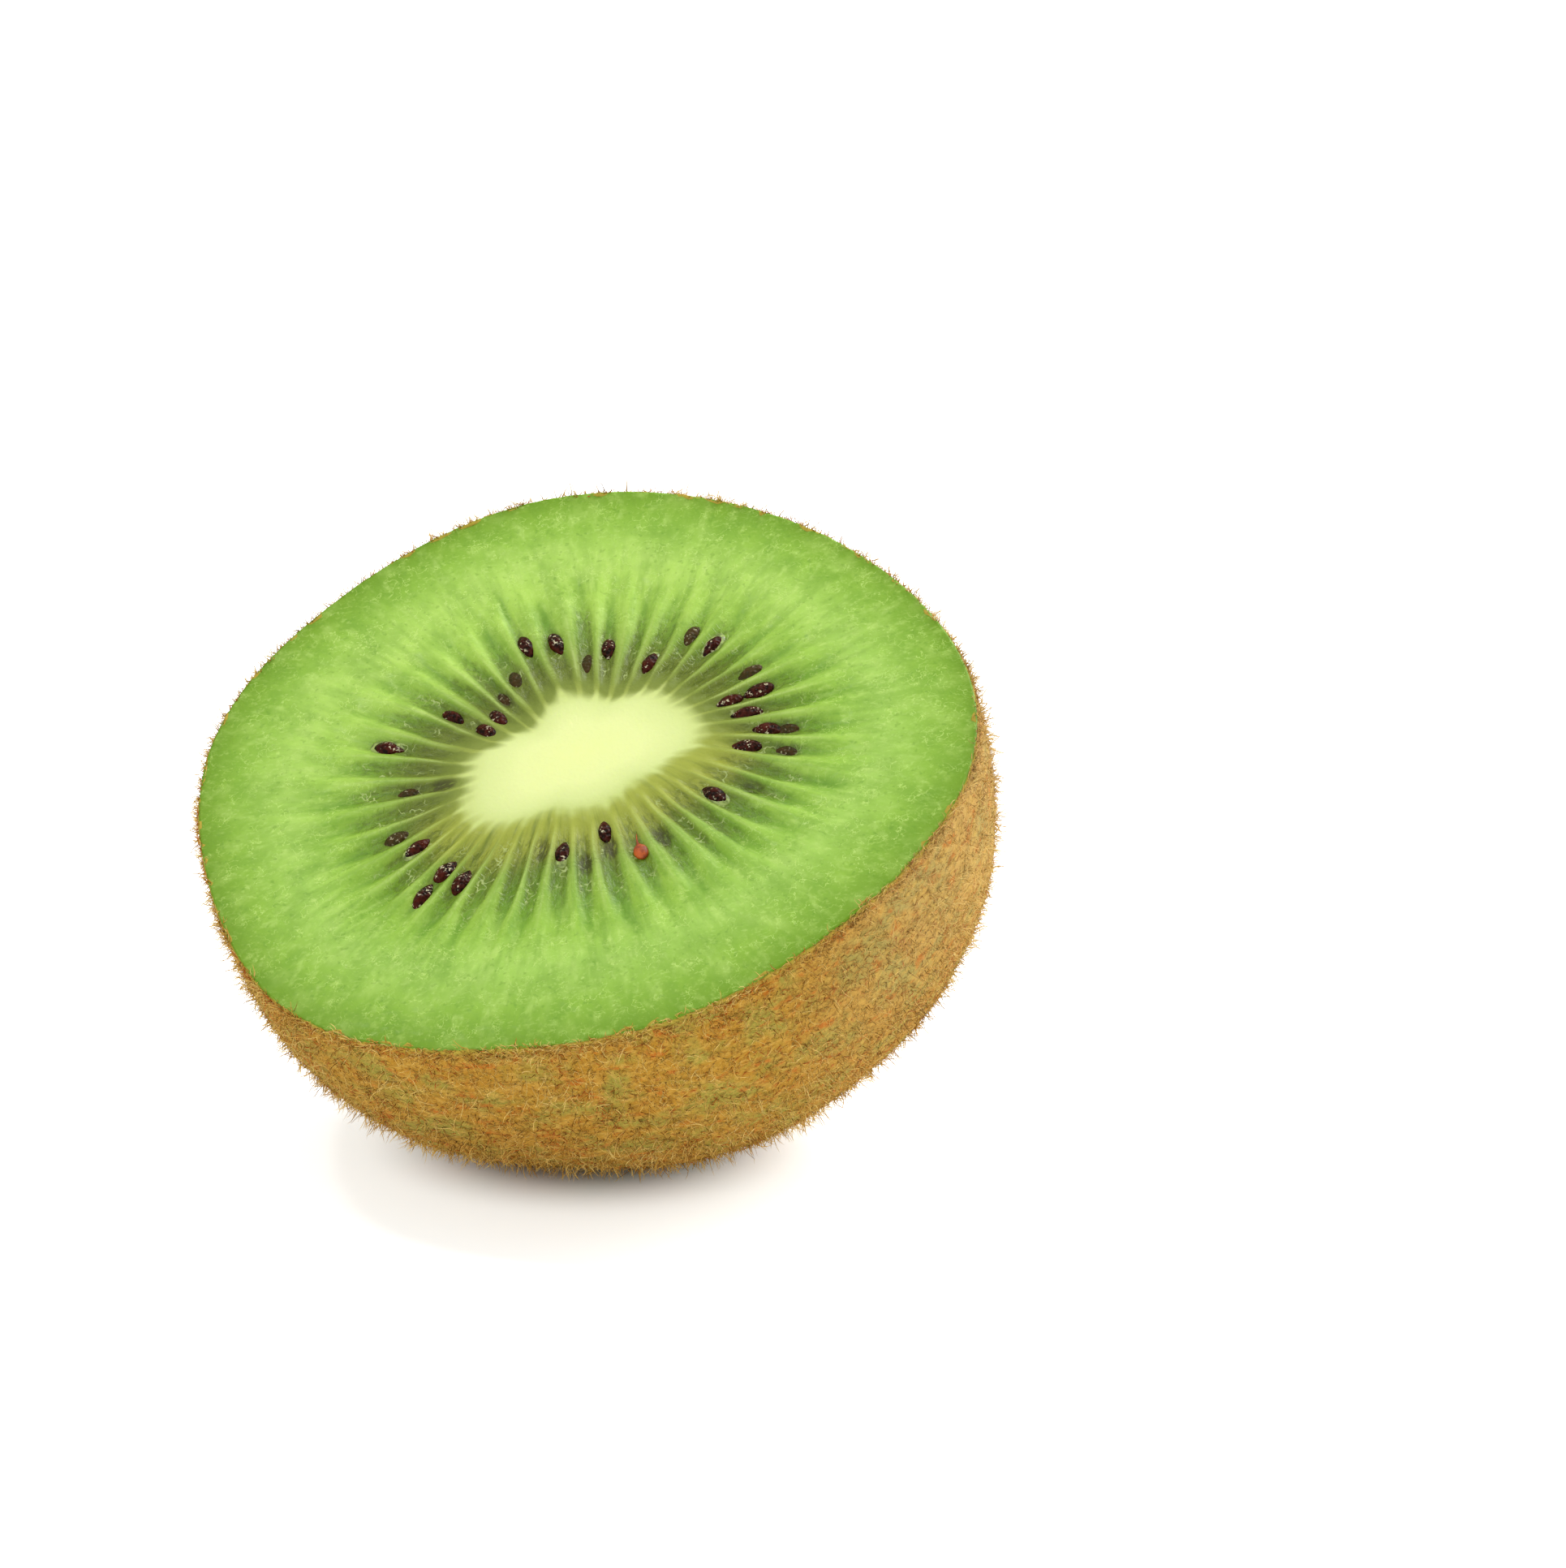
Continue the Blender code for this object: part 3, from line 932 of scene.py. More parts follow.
            tooth -= deep * np.exp(-((self._turn_from(turn, at) / reach) ** 2))
        depth = np.where(inner, (core_share - 1.0) * 0.35, share)
        fray = 0.012 * Grain(8).at(places * 1500.0)
        core = 1.0 - ease(tooth - 0.045 + fray, tooth + 0.022 + fray, depth)
        warm = 1.0 - ease(58.0, 92.0, np.abs(self._turn_from(turn, 262.0)))
        warm *= 1.0 - ease(0.1, 0.26, share)
        tip = np.exp(-(((share - tip_at + 0.08) / 0.09) ** 2)) * np.exp(-((middle / 0.15) ** 2)) * tip_depth
        grain = ease(0.3, 0.55, share) * (1.0 - 0.5 * ease(0.86, 1.0, share)) * (1.0 - core)
        grain = np.maximum(grain, 0.7 * ease(0.2, 0.35, share) * (1.0 - groove))
        # Painted light: paler towards the face's upper side, as where more light falls, in a band between
        # core and rim.
        lit = 0.36 * ease(-0.2, 0.9, np.sin(turn)) * ease(0.24, 0.5, share)
        lit *= 1.0 - ease(0.62, 0.86, share)
        gel = ease(0.12, 0.24, off) * ease(0.05, 0.14, share) * (1.0 - ease(0.36, 0.5, share))
        fibrous = 0.3 * ease(0.1, 0.3, share) * (1.0 - 0.6 * ease(0.6, 0.78, share))
        thread = 0.5 * np.exp(-((off / 0.055) ** 2)) * strength
        thread *= ease(0.05, 0.14, share) * (1.0 - ease(0.3, 0.55, share))
        return {
            "share": share, "core_share": core_share, "core": core, "ray": 1.0 - groove, "warm": warm * 0.8,
            "tip": tip, "grain": grain, "gel": gel * groove, "lit": lit, "thread": thread,
            "fibrous": fibrous, "sunk": self._sunk(places),
        }

    @staticmethod
    def _turn_from(turn: Points, at: float) -> Points:
        """How far turns in radians are from a turn in degrees, from -180 to 180 degrees."""
        return (np.degrees(turn) - at + 180.0) % 360.0 - 180.0

    def _sunk(self, places: Points) -> Points:
        """The dim marks of seeds that lie under the surface."""
        mark = np.zeros(len(places))
        for locule, distance, strength in self.sunken_seeds:
            turn = self.shape.ray_turn(locule + 0.5)
            start = self.shape.core_edge(turn)
            along = self.shape.rim_point(turn) - start
            along /= np.linalg.norm(along)
            away = places[:, :2] - (start + along * distance * MM)
            x = away @ along / (self.sunken_length / 2)
            y = away @ (-along[1], along[0]) / (self.sunken_width / 2)
            mark = np.maximum(mark, strength * np.exp(-((x * x + y * y) ** 3.0)))
        return mark

    def _relief(
        self, number: Points, turn: Points, share: Points, inner: Points, masks: dict[str, Points]
    ) -> Points:
        """Height of the rays, the locules and the grain."""
        off = np.abs(number - np.rint(number)) * 2.0
        valley = ease(0.1, 0.85, off)
        height = np.where(inner, 0.0, self.shape.flesh_height(share, valley))
        lip = self.shape.skin_lip * ease(0.9, 0.965, share) * (1.0 - ease(0.97, 1.0, share))
        height += (1.0 - self.lip_share) * lip
        height += (1.0 - self.swell_share) * self.shape.flesh_swell * ease(0.85, 1.0, share)
        height -= self.groove_depth * (1.0 - masks["ray"]) * ease(0.1, 0.25, share)
        along = np.column_stack([np.cos(turn), np.sin(turn), share])
        cells = Grain(21).at(along * (70.0, 70.0, 40.0)) + 0.6 * Grain(22).at(along * (120.0, 120.0, 75.0))
        ridge = np.exp(-((off / 0.2) ** 2)) * ease(0.03, 0.1, share) * (1.0 - ease(0.4, 0.62, share))
        dimple = -0.12 * MM * masks["sunk"]
        curd = 0.07 * MM * masks["gel"] * Grain(23).at(along * (40.0, 40.0, 24.0))
        coarse = self.grain_height * cells * np.where(inner, 0.0, 0.25 + 0.55 * masks["grain"])
        return height + self.ray_height * ridge + coarse + dimple + curd

    def _under(self, turn: Points, angle: Points) -> Points:
        """The hidden side of the flesh, inside the skin."""
        places = self.shape.end_surface(turn, angle)
        size = np.linalg.norm(places, axis=1)
        places *= (1.0 - (self.skin_overlap + 0.1 * MM * ease(0.0, 0.2, angle)) / size)[:, None]
        return places


@dataclass
class Skin:
    """The skin: a thin shell round the rounded end, with a knob at its middle."""

    shape: FruitShape
    finish: SkinFinish = field(default_factory=SkinFinish)
    segments: int = 352
    rings: int = 96
    thickness: float = 0.26 * MM
    ragged: float = 0.12 * MM
    lowest_edge: float = -0.14 * MM
    lap: float = 0.26 * MM
    rough_height: float = 0.075 * MM
    floor_gap: float = 0.01 * MM

    def build(self) -> bpy.types.Object:
        """Make the shell.

        Returns:
            The piece, which stands for the frame's solid with the flesh.
        """
        deselect()
        bpy.ops.mesh.primitive_uv_sphere_add(segments=self.segments, ring_count=2 * self.rings, radius=1.0)
        skin = take_primitive("skin")
        bpy.ops.object.mode_set(mode="EDIT")
        bpy.ops.mesh.select_all(action="SELECT")
        half_ring = math.sin(math.pi / (4 * self.rings))
        bpy.ops.mesh.bisect(plane_co=(0, 0, half_ring), plane_no=(0, 0, 1), clear_outer=True, threshold=1e-6)
        bpy.ops.object.mode_set(mode="OBJECT")
        column, ring = sphere_rows(skin, self.segments, 2 * self.rings)
        places = corners_of(skin)
        extra = places[:, 2] > half_ring / 2
        turn = column / self.segments * 2.0 * math.pi
        angle = (ring - self.rings) / self.rings * math.pi / 2
        angle = np.where(extra, 0.0, np.maximum(angle, 0.0))
        rough = self.shape.end_surface(turn, angle)
        rough = rough + self._roughness(rough, angle)
        around = np.column_stack([np.cos(turn), np.sin(turn), 0 * turn])
        lip = self.ragged * (Grain(31).at(around * 30.0) + 0.7 * Grain(32).at(around * 90.0))
        lapped = ease(-0.15, 0.7, Grain(33).at(around * 22.0) + 0.6 * Grain(34).at(around * 60.0)) * extra
        rough[:, :2] *= (1.0 - self.lap * lapped / np.linalg.norm(rough[:, :2], axis=1).clip(MM))[:, None]
        lip = np.maximum(lip, self.lowest_edge) + (0.16 * lapped - 0.05) * MM
        rough[:, 2] += np.where(extra, lip, -0.18 * MM * (angle < 1e-6))
        laid = self.shape.lay_down(rough)
        laid[:, 2] = np.maximum(laid[:, 2], self.floor_gap)
        move_corners(skin, laid)
        self.outer = skin.data.copy()
        shell = skin.modifiers.new("thickness", "SOLIDIFY")
        shell.thickness = self.thickness
        shell.offset = -1.0
        bpy.ops.object.modifier_apply(modifier=shell.name)
        self._mark_edge(skin)
        return add_piece(skin, Slot.SKIN, self.finish.material(), "kiwi_half")

    def _roughness(self, places: Points, angle: Points) -> Points:
        """The skin's low bumps, as moves of its points."""
        outward = places / np.linalg.norm(places, axis=1)[:, None]
        bumps = Grain(41).at(places * 900.0) + 0.8 * Grain(42).at(places * 420.0)
        return outward * (self.rough_height * bumps * (0.2 + 0.8 * ease(0.0, 0.12, angle)))[:, None]

    def _mark_edge(self, skin: bpy.types.Object) -> None:
        """Note how near the cut each point lies, its place round and down the fruit, and how much painted
        light it gets.
        """
        level = self.shape.stand_up(corners_of(skin))
        note(skin, "edge", ease(-0.6 * MM, -0.02 * MM, level[:, 2]))
        turn = np.arctan2(level[:, 1], level[:, 0])
        down = np.arcsin(np.clip(-level[:, 2] / self.shape.end_depth, -1.0, 1.0))
        note(skin, "ring_space", np.column_stack([np.cos(turn), np.sin(turn), down]))
        # How much painted light each point of the skin gets.
        note(skin, "painted_light", self.shape.painted_light(corners_of(skin)))


@dataclass
class Seeds:
    """The seeds that lie in the locules, and the pale sacs round some of them."""

    shape: FruitShape
    finish: SeedFinish = field(default_factory=SeedFinish)
    places: dict[int, tuple[float, ...]] = field(default_factory=lambda: {
        0: (2.4, 4.6), 1: (5.1,), 3: (5.2,), 4: (5.5,), 5: (2.9,), 7: (4.7,), 8: (3.0,), 9: (5.4,),
        10: (6.3,), 11: (4.3,), 13: (2.3,), 14: (1.2, 4.5), 16: (6.3,), 20: (4.9,), 21: (3.9,),
        23: (4.3, 6.8), 24: (5.1,), 28: (3.6,), 30: (2.2,), 31: (5.1,), 35: (4.1,), 38: (3.0,),
        39: (4.2,), 40: (3.0,),
    })
    shallow: tuple[tuple[int, float], ...] = ((38, 5.9), (39, 5.6), (18, 3.8), (12, 3.7))
    shallow_sink: float = 0.3 * MM
    shallow_veil: float = 0.5
    covered_sink: float = 0.16 * MM
    covered_veil: float = 0.55
    lumpiness: float = 0.05
    split_locule: int = 31
    veiled: tuple[int, ...] = (1, 4, 8, 11, 20)
    sacs: tuple[int, ...] = (3, 5, 16, 21, 28, 35)
    length: float = 2.25 * MM
    width: float = 1.3 * MM
    thickness: float = 1.0 * MM
    slim: tuple[float, float] = (0.8, 1.02)
    sink: float = 0.12 * MM
    point: float = 0.45
    spread: float = 0.08
    yaw: float = 9.0

    def build(self) -> list[bpy.types.Object]:
        """Make the seeds, the sacs and the split seed.

        Returns:
            The three pieces.
        """
        lying = self._lying()
        whole = [(locule, spot, size) for locule, spot, size in lying if locule != self.split_locule]
        template = self._model_seed()
        corners, veil = [], []
        grain = Grain(52)
        slim = random.Random(17)
        for number, (locule, spot, size) in enumerate(whole):
            covered = locule in self.veiled
            sizes = np.array((self.length, self.width * slim.uniform(*self.slim), self.thickness))
            lumps = 1.0 + self.lumpiness * grain.at(template.corners * 2.0 + number * 9.0)
            shaped = template.corners * lumps[:, None] * (sizes / 2 * size)
            shaped[:, 2] -= self.covered_sink if covered else 0.0
            corners.append(moved(shaped, spot))
            veil.append(np.full(len(shaped), self.covered_veil if covered else 0.0))
        for locule, distance in self.shallow:
            spot = self._spot(locule, distance, slim.uniform(-self.yaw, self.yaw))
            shaped = template.corners * np.array((self.length, self.width, self.thickness)) / 2
            shaped[:, 2] -= self.shallow_sink
            corners.append(moved(shaped, spot))
            veil.append(np.full(len(shaped), self.shallow_veil))
        seeds = template.copies("seeds", self.shape.lay_down(np.array(corners)))
        note(seeds, "veil", np.concatenate(veil))
        made = [add_piece(seeds, Slot.SEEDS, self.finish.material())]
        made.append(self._build_sacs(template, whole))
        split = next(spot for locule, spot, _ in lying if locule == self.split_locule)
        made.append(self._build_split_seed(split))
        return made

    def _lying(self) -> list[tuple[int, Matrix, float]]:
        """Each seed's locule, place and size, drawn as the frame's solid has them."""
        draw = random.Random(11)
        lying = []
        for locule, distances in self.places.items():
            for distance in distances:
                size = 1.0 + draw.uniform(-self.spread, self.spread)
                lying.append((locule, self._spot(locule, distance, draw.uniform(-self.yaw, self.yaw)), size))
        return lying

    def _spot(self, locule: int, distance: float, yaw: float) -> Matrix:
        """A seed's place.

        Args:
            locule: The locule that it lies in.
            distance: How far from the core its middle lies, in millimetres.
            yaw: How far it is turned from the locule's line, in degrees.

        Returns:
            The move from the origin to where it lies.
        """
        turn = self.shape.ray_turn(locule + 0.5)
        start, end = self.shape.core_edge(turn), self.shape.rim_point(turn)
        share = distance * MM / np.linalg.norm(end - start)
        height = float(self.shape.flesh_height(share, 1.0)) - self.sink
        bearing = math.atan2(*(end - start)[::-1]) + math.radians(yaw)
        stand = Matrix.Translation((*(start + (end - start) * share), height))
        return stand @ Matrix.Rotation(bearing, 4, "Z")

    def _model_seed(self) -> Template:
        """Model one seed of radius 1, its point at -X, from a sphere."""
        seed = lying_sphere("seed_template", 20, 14)
        cut_to_triangles()
        corners = corners_of(seed)
        slim = 1.0 - self.point * np.maximum(0.0, -corners[:, 0]) ** 1.3
        corners[:, 1:] *= slim[:, None]
        move_corners(seed, corners)
        return Template.take(seed)

    def _build_sacs(self, template: Template, whole: list[tuple[int, Matrix, float]]) -> bpy.types.Object:
        """Make the pale wet sacs that show as thin lines round some seeds."""
        corners = []
        rng = np.random.default_rng(13)
        grain = Grain(53)
        for locule, spot, size in whole:
            if locule in self.sacs:
                shaped = template.corners * np.array((1.14, 1.2, 0.5)) * size
                shaped *= np.array((self.length, self.width, self.thickness)) / 2
                shaped += np.array((0.1, rng.uniform(-0.12, 0.12), rng.uniform(0.0, 0.06))) * MM
                shaped[:, 2] += 0.05 * MM * grain.at(shaped * 2600.0)
                corners.append(moved(shaped, spot))
        sacs = template.copies("seed_sacs", self.shape.lay_down(np.array(corners)))
        finish = PlainFinish("sac", (164, 184, 96), (92, 110, 38), roughness=0.35, coat=0.2, scale=2600.0)
        return add_piece(sacs, Slot.FLESH, finish.material())

    def _build_split_seed(self, spot: Matrix) -> bpy.types.Object:
        """Make the one split seed, a flat reddish drop with a thin tail towards the core."""
        drop = lying_sphere("split_seed", 28, 22)
        corners = corners_of(drop)
        tail = np.maximum(0.0, (-corners[:, 0] - 0.5) / 0.5)
        corners[:, 1:] *= (1.0 - 0.84 * ease(0.0, 0.4, tail))[:, None]
        corners[:, 0] -= 1.7 * tail
        corners[:, 1] += 0.5 * tail**2
        corners *= (0.66 * MM, 0.52 * MM, 0.34 * MM)
        corners += (0.3 * MM, 0.0, 0.2 * MM)
        move_corners(drop, self.shape.lay_down(moved(corners, spot)))
        finish = PlainFinish("split_seed", (192, 86, 8), (132, 50, 4), roughness=0.55, scale=1900.0)
        return add_piece(drop, Slot.SEEDS, finish.material())


@dataclass(frozen=True)
class HairKind:
    """One kind of hair: how many, how big, how they lie, and their colours."""

    name: str
    count: int
    length: tuple[float, float]
    radius: float
    sections: int
    lean: tuple[float, float]
    rise: float
    curl: float
    finish: HairFinish
    where: Where = Where.ALL_OVER
    clump: float = 0.0
    comb: float = 0.0
    seed: int = 1
    lift: float = 0.0


@dataclass
class Fuzz:
    """The hairs on the skin, in a few kinds, each one piece."""

    shape: FruitShape
    skin_mesh: bpy.types.Mesh
    kinds: tuple[HairKind, ...]
    templates: dict[int, Template]
    clear_of_floor: float = 0.75 * MM
    floor_gap: float = 0.02 * MM
    rim_reach: float = 1.0 * MM
    foot_reach: float = 5.0 * MM
    steps: int = 12
    steepest: float = 96.0

    def build(self) -> list[bpy.types.Object]:
        """Make each kind of hair.

        Returns:
            The pieces.
        """
        return [self._build_kind(kind) for kind in self.kinds]

    def _build_kind(self, kind: HairKind) -> bpy.types.Object:
        """Scatter one kind of hair over the skin and join it into one piece."""
        rng = np.random.default_rng(kind.seed)
        roots, normals = self._roots(kind, rng)
        count = len(roots)
        template = self.templates[kind.sections]
        side = np.cross(normals, rng.normal(size=(count, 3)))
        side /= np.linalg.norm(side, axis=1)[:, None]
        round_fruit = np.cross(normals, np.array(self.shape.laying)[:3, 2])
        side += kind.comb * round_fruit * rng.choice((-1.0, 1.0), count)[:, None]
        side += kind.lift * np.cross(round_fruit, normals)
        side /= np.linalg.norm(side, axis=1)[:, None]
        other = np.cross(normals, side)
        length = rng.uniform(*kind.length, count)
        lean = np.radians(rng.uniform(*kind.lean, count))
        rise = math.radians(kind.rise) * rng.normal(size=count)
        curl = math.radians(kind.curl) * rng.normal(size=count)
        thick = kind.radius * rng.uniform(0.7, 1.25, count)
        corners = np.empty((count, len(template.corners), 3))
        along = template.corners[:, 2]
        for index, height in enumerate(along):
            place = roots - normals * kind.radius
            heading = normals
            steps = max(1, round(height * self.steps))
            for step in range(steps):
                at = (step + 0.5) / self.steps
                tilt = np.minimum(lean + rise * at, math.radians(self.steepest))
                flat = np.cos(curl * at)[:, None] * side + np.sin(curl * at)[:, None] * other
                heading = np.cos(tilt)[:, None] * normals + np.sin(tilt)[:, None] * flat
                place = place + heading * (length * min(height, 1.0) / steps)[:, None]
            if height < 1e-6:
                place = roots - normals * kind.radius
            across = np.cross(heading, normals)
            across /= np.linalg.norm(across, axis=1)[:, None] + 1e-12
            up = np.cross(across, heading)
            x, y = template.corners[index, :2]
            corners[:, index] = place + (across * x + up * y) * thick[:, None]
        corners[:, :, 2] = np.maximum(corners[:, :, 2], self.floor_gap)
        hairs = template.copies(kind.name, corners)
        tint = np.clip(rng.beta(2.2, 2.2, count) + 0.25 * Grain(61).at(roots * 260.0), 0.0, 1.0)
        note(hairs, "tint", np.repeat(tint, len(along)))
        note(hairs, "along", np.tile(along, count))
        # How much painted light each hair gets, taken at its root.
        note(hairs, "painted_light", np.repeat(self.shape.painted_light(roots), len(along)))
        return add_piece(hairs, Slot.FUZZ, kind.finish.material())

    def _roots(self, kind: HairKind, rng: np.random.Generator) -> tuple[Points, Points]:
        """Where a kind's hairs stand, and the skin's direction there."""
        mesh = self.skin_mesh
        mesh.calc_loop_triangles()
        triangles = np.empty(len(mesh.loop_triangles) * 3, np.int32)
        mesh.loop_triangles.foreach_get("vertices", triangles)
        places = np.empty(len(mesh.vertices) * 3)
        mesh.vertices.foreach_get("co", places)
        turned = np.empty(len(mesh.vertices) * 3)
        mesh.vertex_normals.foreach_get("vector", turned)
        corners = places.reshape(-1, 3)[triangles.reshape(-1, 3)]
        normals = turned.reshape(-1, 3)[triangles.reshape(-1, 3)]
        sides = corners[:, 1:] - corners[:, :1]
        area = np.linalg.norm(np.cross(sides[:, 0], sides[:, 1]), axis=1)
        area *= self._likelihood(kind, corners.mean(axis=1))
        chosen = rng.choice(len(area), kind.count, p=area / area.sum())
        first, second = rng.random((2, kind.count, 1))
        over = first + second > 1.0
        first, second = np.where(over, 1.0 - first, first), np.where(over, 1.0 - second, second)
        parts = (1.0 - first - second, first, second)
        roots = sum(part * corners[chosen, i] for i, part in enumerate(parts))
        outward = sum(part * normals[chosen, i] for i, part in enumerate(parts))
        return roots, outward / np.linalg.norm(outward, axis=1)[:, None]

    def _likelihood(self, kind: HairKind, places: Points) -> Points:
        """How likely a kind's hairs are to stand at places on the skin."""
        depth = -self.shape.stand_up(places)[:, 2]
        clear = (places[:, 2] > self.clear_of_floor).astype(float)
        if kind.where is Where.RIM:
            clear *= depth < self.rim_reach
        elif kind.where is Where.FOOT:
            clear *= places[:, 2] < self.foot_reach
        return clear * np.exp(kind.clump * Grain(71 + kind.seed).at(places * 520.0))

    @staticmethod
    def model_hair(sections: int) -> Template:
        """Model one hair as a tapering three-sided spike of length 1, cut into sections."""
        deselect()
        bpy.ops.mesh.primitive_cone_add(
            vertices=3, radius1=1.0, radius2=0.0, depth=1.0, location=(0, 0, 0.5)
        )
        hair = take_primitive("hair_template")
        bpy.ops.object.transform_apply(location=True)
        bpy.ops.object.mode_set(mode="EDIT")
        for cut in range(1, sections):
            bpy.ops.mesh.select_all(action="SELECT")
            bpy.ops.mesh.bisect(plane_co=(0, 0, cut / sections), plane_no=(0, 0, 1))
        cut_to_triangles()
        corners = corners_of(hair)
        taper = 1.0 - 0.65 * corners[:, 2]
        lean = np.maximum(1.0 - corners[:, 2], 1e-6)
        corners[:, :2] *= np.where(corners[:, 2] > 0.999, 0.0, taper / lean)[:, None]
        move_corners(hair, corners)
        return Template.take(hair)


@dataclass
class BlossomEnd:
    """The dry remains of the flower, round the pit of the knob."""

    shape: FruitShape
    bracts: int = 13
    length: float = 2.6 * MM
    width: float = 0.7 * MM
    thickness: float = 0.16 * MM
    offset: tuple[float, float, float] = (0.5 * MM, 0.0, -0.05 * MM)
    flare: float = 0.35

    def build(self) -> bpy.types.Object:
        """Make the ring of dry bracts.

        Returns:
            The piece.
        """
        template = self._model_bract()
        rng = np.random.default_rng(9)
        pole = self.shape.end_surface(np.zeros(1), np.full(1, math.pi / 2))[0]
        corners = []
        for number in range(self.bracts):
            turn = 2.0 * math.pi * number / self.bracts + rng.uniform(-0.2, 0.2)
            size = rng.uniform(0.6, 1.0)
            lift = rng.uniform(-0.5, 0.25)
            stand = Matrix.Translation(pole) @ Matrix.Rotation(turn, 4, "Z")
            stand = stand @ Matrix.Translation(self.offset)
            stand = stand @ Matrix.Rotation(lift + self.flare, 4, "Y")
            shaped = template.corners * (self.length * size, self.width * size, self.thickness)
            shaped[:, 2] += 0.35 * MM * (shaped[:, 0] / self.length) ** 2 * rng.uniform(-1.0, 1.4)
            corners.append(moved(shaped, stand))
        bracts = template.copies("dry_bracts", self.shape.lay_down(np.array(corners)))
        finish = PlainFinish("dry_bract", (78, 54, 28), (122, 90, 50), roughness=0.85, scale=1600.0)
        return add_piece(bracts, Slot.SKIN, finish.material())

    @staticmethod
    def _model_bract() -> Template:
        """Model one bract, a thin leaf of length 1 along X, from a sphere."""
        bract = lying_sphere("bract_template", 10, 8, radius=0.5)
        bpy.ops.object.mode_set(mode="EDIT")
        bpy.ops.mesh.select_all(action="SELECT")
        bpy.ops.transform.translate(value=(0.5, 0.0, 0.0))
        cut_to_triangles()
        corners = corners_of(bract)
        corners[:, 1] *= 1.0 - 0.75 * ease(0.45, 1.0, corners[:, 0])
        move_corners(bract, corners)
        return Template.take(bract)


@dataclass
class Studio:
    """The pale floor, the soft light and the camera."""

    shape: FruitShape
    floor_size: float = 6.0
    camera_distance: float = 520.0 * MM
    camera_lift: float = 17.0
    image_pixels: tuple[int, int] = (1930, 1932)
    face_middle_pixel: tuple[float, float] = (708.7, 941.9)
    focal_pixels: float = 9294.4
    sensor: float = 36.0
    contact: tuple[float, float, float] = (0.0, 0.0, 0.0)
    # The floor's glow, a painted light that starts away from the contact so that the shade near it stays
    # dark.
    glow_start: float = 6.5 * MM
    glow_full: float = 16.5 * MM
    glow: float = 0.56
    world_light: float = 0.52
    aim: tuple[float, float, float] = (0.0, 0.0, 0.02)

    def build(self) -> None:
        """Add the floor, the lights and the camera."""
        self._floor()
        self._world()
        self._softbox("top", (0.20, 0.17, 0.36), 0.30, 1.5)
        self._softbox("front", (-0.50, -0.72, 0.50), 0.9, 2.1)
        self._softbox("right", (0.84, 0.58, 0.42), 0.6, 6.0)
        self._softbox("glint", (-0.24, 0.0, 0.50), 0.04, 0.42)
        self._camera()
        bpy.context.scene.view_settings.view_transform = "Standard"

    def _floor(self) -> None:
        """Lay the pale floor, which glows from glow_start outward: painted light that leaves a tight dark
        shade round the contact.
        """
        deselect()
        bpy.ops.mesh.primitive_plane_add(size=self.floor_size, location=(0, 0, 0))
        floor = take_primitive("floor")
        nodes = Nodes("floor")
        ends = {0: nodes.place(), 1: self.contact}
        away = nodes.add("VectorMath", ends, operation="DISTANCE").outputs["Value"]
        # Painted light: the floor glows except near the contact.
        glow = nodes.times(nodes.step(away, self.glow_start, self.glow_full), self.glow)
        floor.data.materials.append(nodes.finish(
            Base_Color=(0.95, 0.95, 0.95, 1.0), Roughness=0.8, Specular_IOR_Level=0.2,
            Emission_Color=(0.88, 0.96, 1.0, 1.0), Emission_Strength=glow,
        ))

    def _world(self) -> None:
        """Surround the scene with even white light."""
        world = bpy.data.worlds.new("studio")
        world.use_nodes = True
        back = world.node_tree.nodes["Background"]
        back.inputs["Color"].default_value = (1.0, 1.0, 1.0, 1.0)
        back.inputs["Strength"].default_value = self.world_light
        bpy.context.scene.world = world

    def _softbox(self, name: str, place: tuple[float, float, float], size: float, power: float) -> None:
        """Hang a square light that faces the fruit.

        Args:
            name: The light's name.
            place: Where it hangs.
            size: Its side.
            power: Its power in watts.
        """
        data = bpy.data.lights.new(name, "AREA")
        data.size = size
        data.energy = power
        light = bpy.data.objects.new(name, data)
        light.location = place
        heading = Vector(self.aim) - Vector(place)
        light.rotation_euler = heading.to_track_quat("-Z", "Y").to_euler()
        bpy.context.scene.collection.objects.link(light)

    def _camera(self) -> None:
        """Stand the camera so that the face's middle falls on its pixel."""
        tilt = math.radians(90.0 - self.camera_lift)
        turned = Matrix.Rotation(tilt, 3, "X")
        column, row = self.face_middle_pixel
        width, height = self.image_pixels
        right = (column - width / 2) / self.focal_pixels * self.camera_distance
        up = (height / 2 - row) / self.focal_pixels * self.camera_distance
        data = bpy.data.cameras.new("camera")
        data.sensor_width = self.sensor
        data.lens = self.focal_pixels / max(self.image_pixels) * self.sensor
        camera = bpy.data.objects.new("camera", data)
        offset = turned @ Vector((right, up, -self.camera_distance))
        camera.location = Vector(self.shape.face_middle) - offset
        camera.rotation_euler = (tilt, 0.0, 0.0)
        bpy.context.scene.collection.objects.link(camera)
        bpy.context.scene.camera = camera


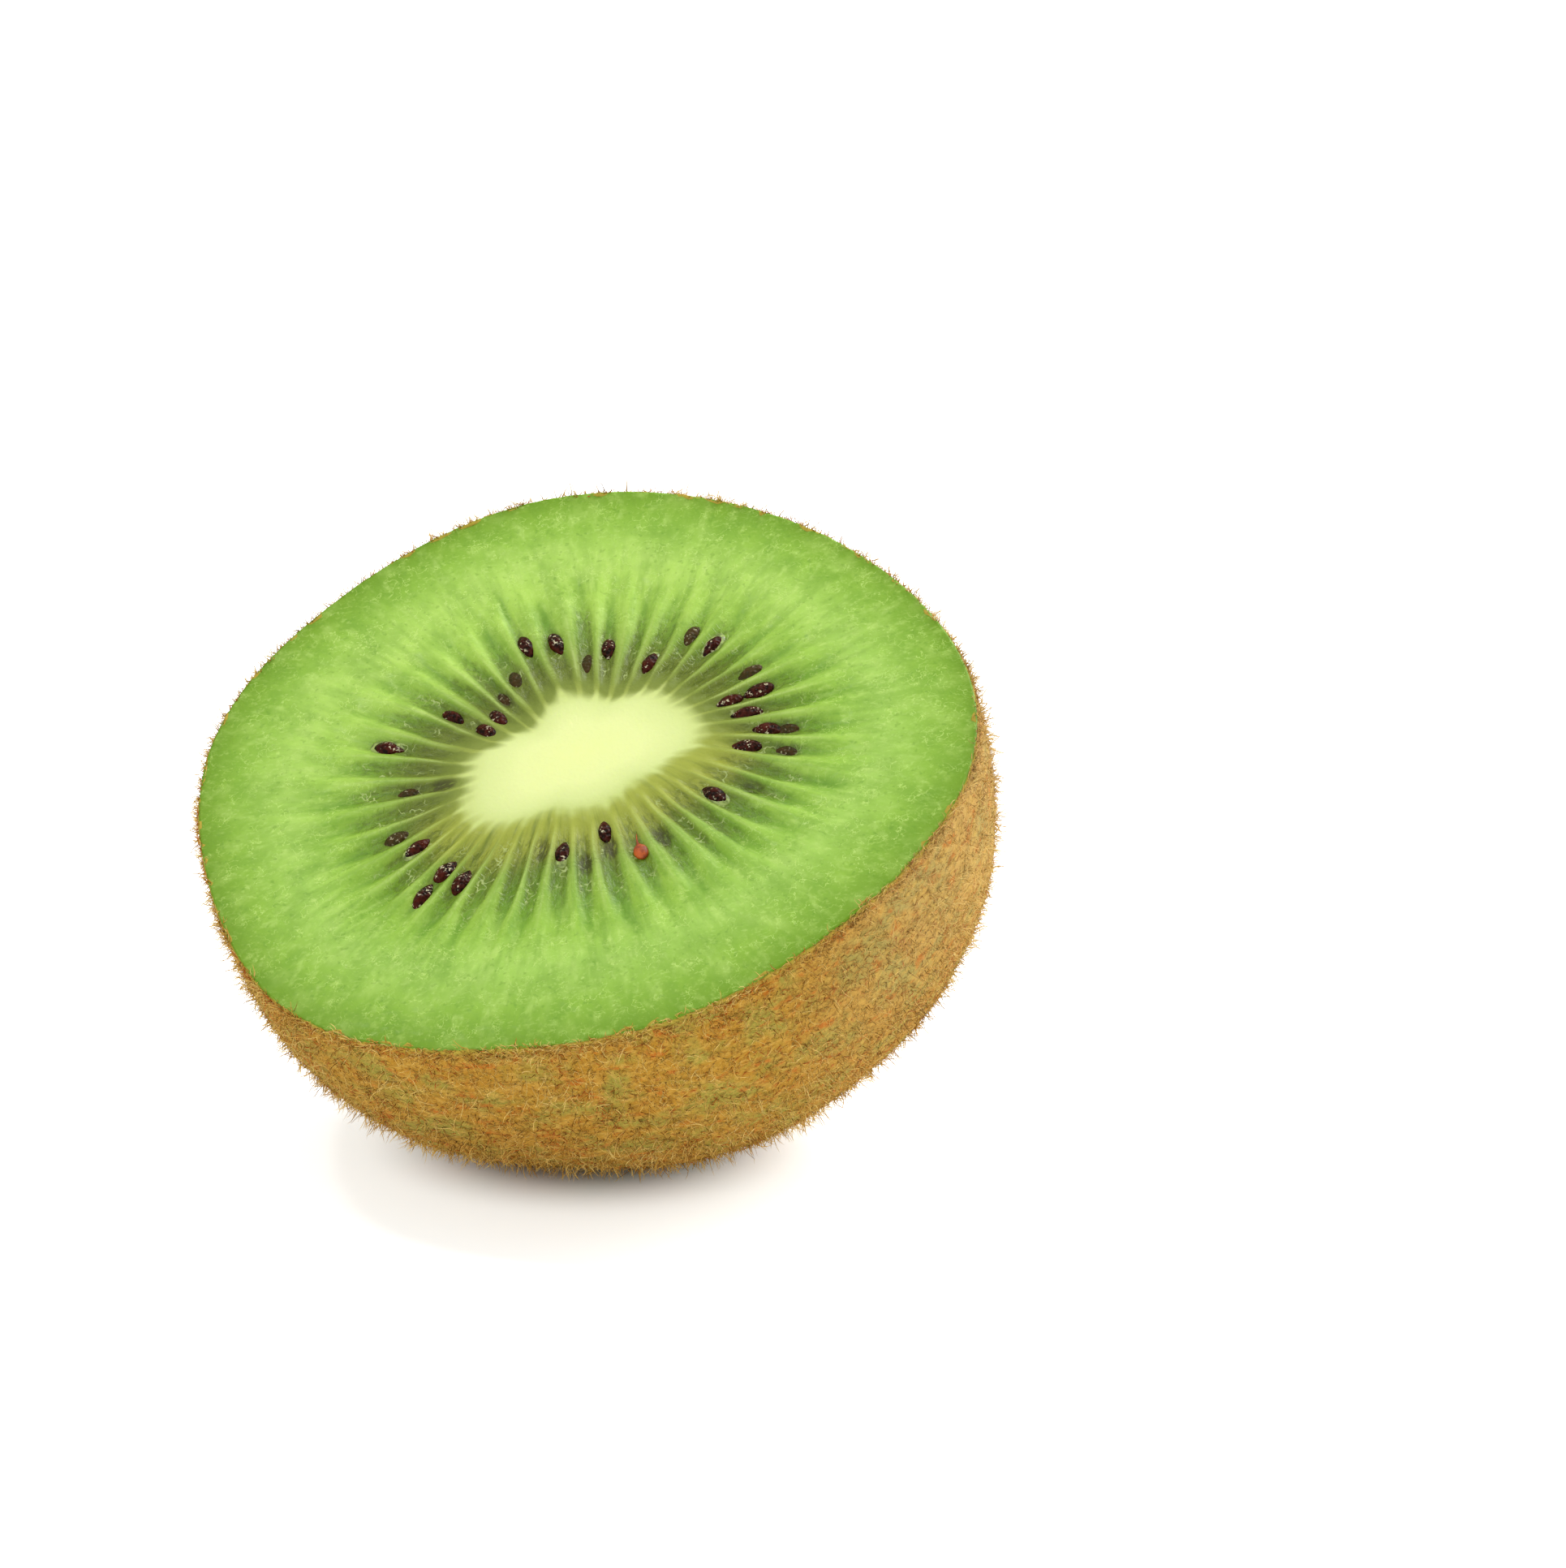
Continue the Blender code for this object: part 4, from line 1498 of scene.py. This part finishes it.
def hair_kinds() -> tuple[HairKind, ...]:
    """The kinds of hair on the skin.

    Returns:
        The down, the flat mat, the rusty flecks, the golden hairs and curls, and the hairs of the rim
        and the foot.
    """
    down = HairFinish("down", ((0.0, (140, 98, 30)), (0.5, (188, 142, 54)), (1.0, (220, 182, 92))))
    gold = HairFinish("gold", ((0.0, (130, 90, 30)), (0.35, (202, 152, 58)), (1.0, (248, 218, 132))))
    rust = HairFinish("rust", ((0.0, (152, 72, 20)), (0.5, (190, 104, 34)), (1.0, (212, 140, 56))))
    olive = HairFinish("olive", ((0.0, (122, 96, 34)), (0.5, (160, 134, 52)), (1.0, (190, 162, 76))))
    return (
        HairKind("down", 11500, (0.3 * MM, 0.7 * MM), 0.028 * MM, 2, (40, 85), 25, 80, down,
                 comb=0.2, seed=101),
        HairKind("flat_mat", 11500, (0.4 * MM, 0.8 * MM), 0.036 * MM, 2, (74, 90), 8, 90, olive,
                 clump=0.7, comb=0.5, seed=102),
        HairKind("rusty_flecks", 6000, (0.5 * MM, 1.0 * MM), 0.04 * MM, 3, (66, 88), 14, 120, rust,
                 clump=2.4, comb=0.4, seed=103),
        HairKind("golden_hairs", 8700, (0.8 * MM, 1.7 * MM), 0.037 * MM, 4, (14, 84), 34, 170, gold,
                 clump=0.8, comb=0.3, seed=104),
        HairKind("fine_curls", 11500, (0.7 * MM, 1.5 * MM), 0.03 * MM, 3, (40, 86), 24, 210, gold,
                 clump=0.9, seed=108),
        HairKind("rim_hairs", 3400, (0.4 * MM, 1.2 * MM), 0.033 * MM, 4, (30, 88), 20, 130, gold,
                 Where.RIM, clump=0.9, seed=105, lift=0.9),
        HairKind("rim_flecks", 900, (0.4 * MM, 0.9 * MM), 0.038 * MM, 3, (50, 90), 14, 110, rust,
                 Where.RIM, clump=1.4, seed=107, lift=0.9),
        HairKind("foot_hairs", 900, (0.5 * MM, 1.3 * MM), 0.032 * MM, 4, (30, 84), 30, 110, gold,
                 Where.FOOT, clump=0.5, seed=106),
    )


def main() -> None:
    """Build the pieces in order, and report each."""
    logging.basicConfig(level=logging.INFO, format="%(name)s %(message)s")
    shape = FruitShape()
    templates = {sections: Fuzz.model_hair(sections) for sections in (2, 3, 4)}
    Seeds(shape).build()
    BlossomEnd(shape).build()
    skin = Skin(shape)
    skin.build()
    CutFace(shape).build()
    Fuzz(shape, skin.outer, hair_kinds(), templates).build()
    Studio(shape).build()


if __name__ == "__main__":
    main()
